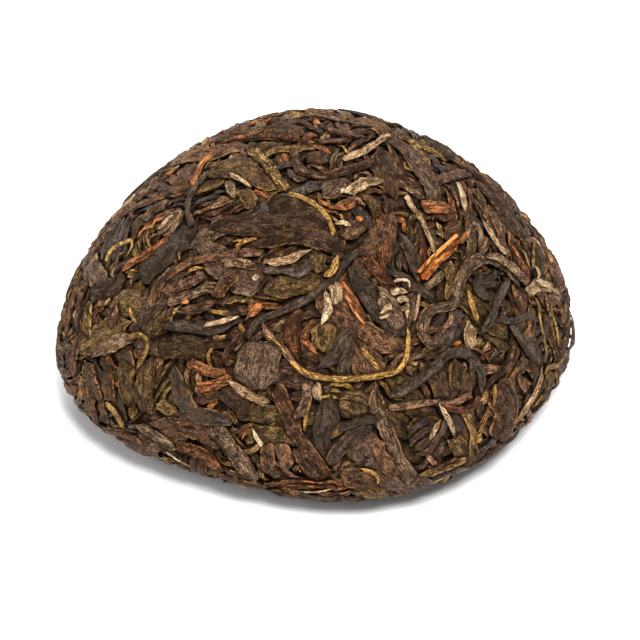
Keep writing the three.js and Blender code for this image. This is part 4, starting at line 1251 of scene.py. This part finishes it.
def colour_group():
    """A leaf's colour: three shades of its kind, stained, with painted shade in creases, hollows and under
    other leaves, a rim that is partly painted highlight, and dust and painted sheen on ridges
    """
    group, nodes, inside, out = new_group(
        "Tea colour",
        [*((label, "Color", None) for label in ("Deep", "Middle", "Bright", "Stain", "Rim", "Dust")),
         *((label, "Float", None) for label in ("Sheen and dust share", "Fibre", "Crease", "Blotch", "Patch", "Speck")),
         ("Cast", "Color", YELLOW_CAST)],
        [("Colour", "Color", None)],
    )
    if nodes is None:
        return group
    attribute = nodes.add("ShaderNodeAttribute", attribute_name="tint")
    tint = nodes.add("ShaderNodeSeparateColor")
    nodes.put(tint.inputs[0], attribute.outputs["Color"])
    relief, cover, edge = (nodes.add("ShaderNodeAttribute", attribute_name=name).outputs["Fac"]
                           for name in ("relief", "cover", "edge"))
    shade = tint.outputs[0]
    for label, far in SHADE_BY.items():
        shade = nodes.math("ADD", shade, nodes.spread(inside[label], 0, 1, -far, far), clamp=label == "Fibre")
    colour = nodes.mix(nodes.spread(shade, 0.0, 0.5), inside["Deep"], inside["Middle"])
    colour = nodes.mix(nodes.spread(shade, 0.5, 1.0), colour, inside["Bright"])
    stain = nodes.math("MULTIPLY", inside["Patch"], nodes.spread(tint.outputs[2], 0.2, 0.9, 0.15, 0.85))
    colour = nodes.mix(stain, colour, inside["Stain"])
    hue = attribute.outputs["Alpha"]
    cast = nodes.mix(nodes.spread(hue, 0.0, 0.45), RED_CAST, WARM_CAST)
    cast = nodes.mix(nodes.spread(hue, 0.55, 1.0), cast, inside["Cast"])
    colour = nodes.mix(1.0, colour, cast, "MULTIPLY")
    light = nodes.spread(tint.outputs[1], 0, 1, *LIGHTS_OF_LEAVES)
    bright = nodes.add("ShaderNodeCombineXYZ")
    for socket in bright.inputs:
        nodes.put(socket, light)
    colour = nodes.mix(1.0, colour, bright.outputs[0], "MULTIPLY")
    # Painted shade: darker in the leaf's hollows, along its creases and where other leaves cover it
    low = nodes.math("MAXIMUM", nodes.spread(relief, 0.42, 0.05), nodes.math("MULTIPLY", cover, 0.8))
    crease = nodes.math("MULTIPLY", inside["Crease"], 0.8)
    painted_shade = nodes.math("MAXIMUM", nodes.math("MULTIPLY", low, 0.8), crease)
    colour = nodes.mix(painted_shade, colour, PAINTED_GROOVE_SHADE)
    # A pale rim along the top edges, partly the leaf's own margin and partly painted highlight, that fades
    # where other leaves cover it
    broken = nodes.math("MULTIPLY", edge, nodes.spread(inside["Blotch"], 0.2, 0.8))
    rim = nodes.math("MULTIPLY", broken, nodes.spread(tint.outputs[2], 0.3, 0.85, 0.0, 0.9))
    rim = nodes.math("MULTIPLY", rim, nodes.spread(cover, 0.5, 0.1))
    colour = nodes.mix(rim, colour, inside["Rim"])
    # Pale on the ridges where the specks are: partly dust and partly painted sheen
    ridge_dust_and_sheen = nodes.math("MULTIPLY", nodes.spread(relief, 0.5, 0.8), nodes.spread(inside["Speck"], 0.4, 1.0))
    colour = nodes.mix(nodes.math("MULTIPLY", ridge_dust_and_sheen, inside["Sheen and dust share"]), colour, inside["Dust"])
    nodes.put(out["Colour"], colour)
    return group


SHEEN_TINT = (1, 0.74, 0.52, 1)
LEAF_BUMP = 0.46
SMOOTHER = 0.08  # how far a blotch's roughness falls and rises from its kind's
ROUGHER = 0.12


def leaf_material(name, shades, dust_and_sheen, rough, gloss, grain):
    """A kind of leaf's finish: its middle, deep, bright and stain colours, its rim colour, which is partly
    painted highlight, and its colour of dust and painted sheen
    """
    material = bpy.data.materials.new(name)
    material.use_nodes = True
    nodes = Nodes(material.node_tree)
    shader = material.node_tree.nodes["Principled BSDF"]
    texture = nodes.add("ShaderNodeGroup", node_tree=grain_group())
    texture.inputs["Fibre width"].default_value = grain[0]
    texture.inputs["Fibre length"].default_value = grain[1]
    colour = nodes.add("ShaderNodeGroup", node_tree=colour_group(), name="Colour")
    for label, value in zip(("Middle", "Deep", "Bright", "Stain", "Rim", "Dust"), shades):
        colour.inputs[label].default_value = value
    colour.inputs["Sheen and dust share"].default_value = dust_and_sheen
    for label in ("Fibre", "Crease", "Blotch", "Patch", "Speck"):
        nodes.put(colour.inputs[label], texture.outputs[label])
    nodes.put(shader.inputs["Base Color"], colour.outputs["Colour"])
    roughness = nodes.spread(texture.outputs["Blotch"], 0, 1, rough - SMOOTHER, rough + ROUGHER)
    nodes.put(shader.inputs["Roughness"], roughness)
    shader.inputs["Specular IOR Level"].default_value = gloss
    shader.inputs["Specular Tint"].default_value = SHEEN_TINT
    relief = nodes.add("ShaderNodeBump")
    relief.inputs["Strength"].default_value = 1.0
    relief.inputs["Distance"].default_value = LEAF_BUMP * MM
    nodes.put(relief.inputs["Height"], texture.outputs["Height"])
    nodes.put(shader.inputs["Normal"], relief.outputs[0])
    return material


def colour_of(name, description, default):
    """A colour that a user can change"""
    return FloatVectorProperty(name=name, description=description, default=default, size=3,
                               min=0, max=1, subtype="COLOR")


def srgb(r, g, b):
    """A screen colour of 0 to 255 as the linear colour that shaders take"""
    def linear(v):
        """One channel"""
        v /= 255
        return v / 12.92 if v <= 0.04045 else ((v + 0.055) / 1.055) ** 2.4
    return linear(r), linear(g), linear(b)


class TeaFormSettings(bpy.types.PropertyGroup):
    """Sizes of the pressed form"""

    height: FloatProperty(name="Height", description="From the resting plane to the crown", default=0.0462,
                          unit="LENGTH")
    waist_radius: FloatProperty(name="Waist radius", description="At its widest", default=0.0415,
                                unit="LENGTH")
    waist_height: FloatProperty(name="Waist height", description="Of the widest place", default=0.008,
                                unit="LENGTH")
    ring_outer: FloatProperty(name="Ring, outer", description="Outer radius of the ring that it rests on",
                              default=0.0287, unit="LENGTH")
    ring_inner: FloatProperty(name="Ring, inner", description="Inner radius of the ring that it rests on",
                              default=0.0255, unit="LENGTH")
    hollow_depth: FloatProperty(name="Hollow depth", description="Of the hollow underneath", default=0.019,
                                unit="LENGTH")
    crown_power: FloatProperty(name="Crown power", description="2 is an ellipse, and less is more pointed",
                               default=1.71)
    rim_power: FloatProperty(name="Rim power", description="2 is an ellipse, and less is flatter",
                             default=1.84)

    def sizes(self):
        """The sizes in millimetres"""
        lengths = (self.height, self.waist_radius, self.waist_height, self.ring_outer, self.ring_inner,
                   self.hollow_depth)
        return FormSizes(*(round(v / MM, 4) for v in lengths), self.crown_power, self.rim_power)


class TeaLeafSettings(bpy.types.PropertyGroup):
    """How many leaves are tried in each layer"""

    seed: IntProperty(name="Seed", description="Of every random draw", default=12)
    scraps: IntProperty(name="Scraps", description="Places tried for thin scraps on top", default=240)
    first: IntProperty(name="First round", description="Places tried for large leaves", default=1000)
    second: IntProperty(name="Second round", description="Places tried for leaves of all sizes", default=5000)
    third: IntProperty(name="Third round", description="Places tried for bits in the gaps", default=20000)
    backing: IntProperty(name="Backing", description="Places tried for flat bits under what gaps are left",
                         default=14000)

    def counts(self):
        """How many places each round tries"""
        return self.scraps, self.first, self.second, self.third, self.backing


class TeaColourSettings(bpy.types.PropertyGroup):
    """The main colour of each kind of leaf, and the two colours of the core"""

    black: colour_of("Black strips", "Main colour of the black strips", srgb(30, 20, 15))
    brown: colour_of("Brown strips", "Main colour of the brown strips", srgb(75, 50, 36))
    grey: colour_of("Grey strips", "Main colour of the grey strips", srgb(88, 66, 50))
    olive: colour_of("Olive strips", "Main colour of the olive strips", srgb(112, 83, 46))
    russet: colour_of("Russet strips", "Main colour of the russet strips", srgb(94, 55, 34))
    pale: colour_of("Pale tips", "Main colour of the pale tips", srgb(172, 142, 112))
    gold: colour_of("Golden stems", "Main colour of the golden stems", srgb(116, 84, 44))
    twig: colour_of("Twig", "Main colour of the orange twig", srgb(166, 86, 28))
    brown_leaf: colour_of("Brown leaves", "Main colour of the brown flat leaves", srgb(68, 46, 33))
    olive_leaf: colour_of("Olive leaves", "Main colour of the olive flat leaves", srgb(78, 56, 34))
    grey_leaf: colour_of("Grey leaves", "Main colour of the grey flat leaves", srgb(78, 59, 46))
    pale_leaf: colour_of("Pale leaves", "Main colour of the pale flat leaves", srgb(158, 130, 99))
    core_dark: colour_of("Core, dark", "Darker colour of the core", srgb(20, 13, 8))
    core_light: colour_of("Core, light", "Lighter colour of the core", srgb(60, 42, 27))


class TeaStageSettings(bpy.types.PropertyGroup):
    """The camera and the floor"""

    elevation: FloatProperty(name="Elevation", description="Of the camera over the resting plane",
                             default=VIEW_ELEVATION, subtype="ANGLE")
    distance: FloatProperty(name="Distance", description="From the camera to the cake",
                            default=VIEW_DISTANCE * MM, unit="LENGTH")
    lens: FloatProperty(name="Lens", description="In millimetres, on a 36 mm sensor", default=167.4)
    floor: colour_of("Floor", "Colour of the floor", (0.86, 0.86, 0.86))


# Each kind: its deep, bright and stain colours, its rim colour, partly a painted highlight, and its colour of
# dust and painted sheen, all on a screen; how much of that dust and sheen shows, its roughness, its gloss,
# and its fibres for each millimetre across and along
FINISHES = {
    "black": (((14, 8, 5), (92, 76, 66), (58, 34, 20), (124, 94, 58), (130, 114, 102)),
              0.3, 0.4, 0.42, (4.5, 0.45)),
    "brown": (((34, 17, 7), (146, 109, 86), (90, 56, 33), (156, 110, 64), (160, 128, 102)),
              0.3, 0.55, 0.2, (4.5, 0.45)),
    "grey": (((40, 25, 14), (158, 128, 103), (82, 58, 38), (164, 128, 86), (178, 152, 124)),
             0.35, 0.57, 0.2, (4.5, 0.45)),
    "olive": (((44, 27, 8), (184, 150, 96), (78, 51, 27), (168, 133, 68), (166, 142, 98)),
              0.25, 0.58, 0.18, (4.2, 0.45)),
    "russet": (((46, 20, 9), (180, 112, 66), (68, 43, 26), (182, 120, 64), (178, 134, 94)),
               0.25, 0.55, 0.2, (4.5, 0.4)),
    "pale": (((124, 94, 66), (226, 202, 166), (126, 91, 58), (200, 168, 122), (222, 202, 168)),
             0.35, 0.7, 0.12, (5.5, 0.35)),
    "gold": (((72, 47, 18), (190, 148, 80), (82, 57, 27), (182, 144, 80), (178, 148, 98)),
             0.25, 0.52, 0.2, (5.5, 0.3)),
    "twig": (((96, 36, 8), (216, 150, 84), (140, 62, 20), (226, 176, 116), (224, 178, 120)),
             0.25, 0.55, 0.15, (4.5, 0.1)),
    "brown leaf": (((30, 16, 8), (120, 85, 61), (68, 44, 27), (150, 108, 64), (136, 110, 88)),
                   0.25, 0.58, 0.18, (3.6, 0.45)),
    "olive leaf": (((36, 23, 8), (124, 98, 58), (72, 47, 28), (152, 118, 60), (138, 116, 82)),
                   0.22, 0.58, 0.18, (3.6, 0.45)),
    "grey leaf": (((42, 28, 19), (124, 100, 82), (72, 50, 34), (154, 120, 82), (148, 126, 104)),
                  0.4, 0.62, 0.18, (3.8, 0.5)),
    "pale leaf": (((126, 98, 70), (216, 190, 150), (120, 91, 60), (204, 174, 128), (218, 198, 162)),
                  0.35, 0.7, 0.12, (4.5, 0.3)),
}


def finish_of(kind, name, colours):
    """The finish of a kind of leaf, its main colour from the settings"""
    others, dust_and_sheen, rough, gloss, grain = FINISHES[kind]
    shades = [(*getattr(colours, name), 1), *((*srgb(*shade), 1) for shade in others)]
    material = leaf_material(name + "_finish", shades, dust_and_sheen, rough, gloss, grain)
    if kind == "black":
        material.node_tree.nodes["Colour"].inputs["Cast"].default_value = COLD_CAST
    return material


def cake_of(scene):
    """The laid cake that the scene's settings ask for"""
    return laid_cake(scene.tea_form.sizes(), scene.tea_leaves.seed, scene.tea_leaves.counts())


def make_kinds(context, kinds):
    """Makes the pieces that hold these kinds of leaf"""
    _, _, pieces, _ = cake_of(context.scene)
    for kind in kinds:
        if kind in pieces:
            name = kind.replace(" ", "_")
            mesh = joined_mesh(name, pieces[kind])
            finish_piece(name, mesh, finish_of(kind, name, context.scene.tea_colours))


class TEA_OT_strips(bpy.types.Operator):
    """Adds the rolled strips: black, brown, grey, olive and russet"""

    bl_idname = "tea.strips"
    bl_label = "Rolled strips"

    def execute(self, context):
        make_kinds(context, ("black", "brown", "grey", "olive", "russet"))
        return {"FINISHED"}


class TEA_OT_flat_leaves(bpy.types.Operator):
    """Adds the flat leaves: brown, olive, grey and pale"""

    bl_idname = "tea.flat_leaves"
    bl_label = "Flat leaves"

    def execute(self, context):
        make_kinds(context, ("brown leaf", "olive leaf", "grey leaf", "pale leaf"))
        return {"FINISHED"}


class TEA_OT_stems(bpy.types.Operator):
    """Adds the golden stems, the pale tips and the orange twig"""

    bl_idname = "tea.stems"
    bl_label = "Stems and tips"

    def execute(self, context):
        make_kinds(context, ("gold", "pale", "twig"))
        return {"FINISHED"}


CORE_RINGS = 104
CORE_SIDES = 200
CORE_END = 0.25  # the first ring's reach, and the last one's from the end
CORE_DEPTH = 1.3  # least depth under the form's face, and the most where it rests on its ring
CORE_DEPTH_ON_RING = 0.9
CRUMB_HEIGHT = 0.25
CORE_END_DEPTH = 1.2
CORE_SPECKS = 1500.0  # specks and bumps for each metre, and how high the bumps are
CORE_BUMPS = 2200.0
CORE_BUMP_HEIGHT = 0.2


class TEA_OT_core(bpy.types.Operator):
    """Adds the pressed core of broken leaf, close under the leaves that cover it"""

    bl_idname = "tea.core"
    bl_label = "Core"

    def execute(self, context):
        form, layers, _, ripple = cake_of(context.scene)
        reach = np.linspace(CORE_END, form.end_reach - CORE_END, CORE_RINGS)[:, None]
        bearing = (np.arange(CORE_SIDES) * 2 * math.pi / CORE_SIDES)[None, :]
        reach, bearing = np.broadcast_arrays(reach, bearing)
        cover = widened(widened(layers.over(reach, bearing), 2).T, 2).T
        at = form.place(reach, bearing)
        crumbs = ripple(at[..., 0] / 0.9 + 7 + at[..., 2] / 0.9, at[..., 1] / 0.9) \
            + 0.5 * ripple(at[..., 0] / 0.4 + at[..., 2] / 0.4, at[..., 1] / 0.4 + 11)
        depth = sunk(np.maximum(cover + 0.2, CORE_DEPTH) + CRUMB_HEIGHT * crumbs, DEEPEST) + 0.15
        on_ring = (reach > form.ring_reach - 1) & (reach < form.hollow_reach + 1)
        depth = np.where(on_ring, np.minimum(depth, CORE_DEPTH_ON_RING), depth)
        points = form.place(reach, bearing, depth).reshape(-1, 3)
        caps = form.place(np.array([0.0, form.end_reach]), np.zeros(2), np.full(2, CORE_END_DEPTH))
        mesh = bpy.data.meshes.new("core")
        quads, fans = closed_rings(CORE_RINGS, CORE_SIDES)
        mesh.from_pydata((np.vstack([points, caps]) * MM).tolist(), [], quads.tolist() + fans.tolist())
        mesh.shade_smooth()
        material = bpy.data.materials.new("core_finish")
        material.use_nodes = True
        nodes = Nodes(material.node_tree)
        shader = material.node_tree.nodes["Principled BSDF"]
        place = nodes.add("ShaderNodeTexCoord").outputs["Object"]
        speck = nodes.spread(nodes.noise(place, CORE_SPECKS, 4.0, 0.7), 0.35, 0.7)
        colours = context.scene.tea_colours
        dark, light = (*colours.core_dark, 1), (*colours.core_light, 1)
        nodes.put(shader.inputs["Base Color"], nodes.mix(speck, dark, light))
        shader.inputs["Roughness"].default_value = 0.8
        shader.inputs["Specular IOR Level"].default_value = 0.1
        bump = nodes.add("ShaderNodeBump")
        bump.inputs["Strength"].default_value = 0.8
        bump.inputs["Distance"].default_value = CORE_BUMP_HEIGHT * MM
        nodes.put(bump.inputs["Height"], nodes.noise(place, CORE_BUMPS, 3.0, 0.6))
        nodes.put(shader.inputs["Normal"], bump.outputs[0])
        finish_piece("core", mesh, material)
        return {"FINISHED"}


# The soft lights: name, place in metres, size and power
STUDIO_LIGHTS = (
    ("key", (0.15, -0.45, 0.75), 0.4, 14.5),
    ("fill", (-0.6, -0.35, 0.4), 0.6, 2.5),
    ("back", (-0.1, 0.7, 0.6), 0.5, 6.0),
)
STUDIO_STRENGTH = 0.52
LIT_POINT = Vector((0, 0, 0.02))
FLOOR_SIZE = 3
FRAME_CENTRE = 320  # of the 640 pixel picture
SENSOR_WIDTH = 36


class TEA_OT_stage(bpy.types.Operator):
    """Adds the floor, the soft lights and the camera"""

    bl_idname = "tea.stage"
    bl_label = "Stage"

    def execute(self, context):
        scene, settings = context.scene, context.scene.tea_stage
        bpy.ops.mesh.primitive_plane_add(size=FLOOR_SIZE)
        floor = context.object
        floor.name = floor.data.name = "floor"
        material = bpy.data.materials.new("floor_finish")
        material.use_nodes = True
        shader = material.node_tree.nodes["Principled BSDF"]
        shader.inputs["Base Color"].default_value = (*settings.floor, 1)
        shader.inputs["Roughness"].default_value = 0.9
        floor.data.materials.append(material)

        world = bpy.data.worlds.new("studio")
        world.use_nodes = True
        world.node_tree.nodes["Background"].inputs["Color"].default_value = (1, 1, 1, 1)
        world.node_tree.nodes["Background"].inputs["Strength"].default_value = STUDIO_STRENGTH
        scene.world = world
        for name, place, size, power in STUDIO_LIGHTS:
            light = bpy.data.lights.new(name, "AREA")
            light.shape = "DISK"
            light.size = size
            light.energy = power
            lamp = bpy.data.objects.new(name, light)
            lamp.location = place
            lamp.rotation_euler = (LIT_POINT - Vector(place)).to_track_quat("-Z", "Y").to_euler()
            scene.collection.objects.link(lamp)

        camera = bpy.data.cameras.new("camera")
        camera.lens = settings.lens
        camera.sensor_width = SENSOR_WIDTH
        camera.clip_start = 0.01
        holder = bpy.data.objects.new("camera", camera)
        back = Vector((0, -math.cos(settings.elevation), math.sin(settings.elevation)))
        up = Vector((0, math.sin(settings.elevation), math.cos(settings.elevation)))
        target = Vector((0, 0, SKETCH_HEIGHT * MM))
        holder.location = target + back * settings.distance
        aim = target + up * (SKETCH_CENTRE[1] - FRAME_CENTRE) / PIXELS_PER_MM * MM
        aim.x += (FRAME_CENTRE - SKETCH_CENTRE[0]) / PIXELS_PER_MM * MM
        holder.rotation_euler = (aim - holder.location).to_track_quat("-Z", "Y").to_euler()
        scene.collection.objects.link(holder)
        scene.camera = holder
        scene.view_settings.view_transform = "Standard"
        return {"FINISHED"}


class TEA_PT_panel(bpy.types.Panel):
    """Lists the steps that make the cake"""

    bl_label = "Pressed tea bowl"
    bl_idname = "TEA_PT_panel"
    bl_space_type = "VIEW_3D"
    bl_region_type = "UI"
    bl_category = "Tea"

    def draw(self, context):
        for step in STEPS:
            self.layout.operator(step.bl_idname)


STEPS = (TEA_OT_strips, TEA_OT_flat_leaves, TEA_OT_stems, TEA_OT_core, TEA_OT_stage)
SETTINGS = {"tea_form": TeaFormSettings, "tea_leaves": TeaLeafSettings, "tea_colours": TeaColourSettings,
            "tea_stage": TeaStageSettings}


def register():
    """Registers the classes and adds the settings to scenes"""
    for cls in (*SETTINGS.values(), *STEPS, TEA_PT_panel):
        bpy.utils.register_class(cls)
    for name, cls in SETTINGS.items():
        setattr(bpy.types.Scene, name, PointerProperty(type=cls))


def unregister():
    """Takes the settings and the classes out again"""
    for name in SETTINGS:
        delattr(bpy.types.Scene, name)
    for cls in (TEA_PT_panel, *reversed(STEPS), *SETTINGS.values()):
        bpy.utils.unregister_class(cls)


def main():
    """Makes the cake and its stage"""
    register()
    bpy.ops.tea.strips()
    bpy.ops.tea.flat_leaves()
    bpy.ops.tea.stems()
    bpy.ops.tea.core()
    bpy.ops.tea.stage()


if __name__ == "__main__":
    main()
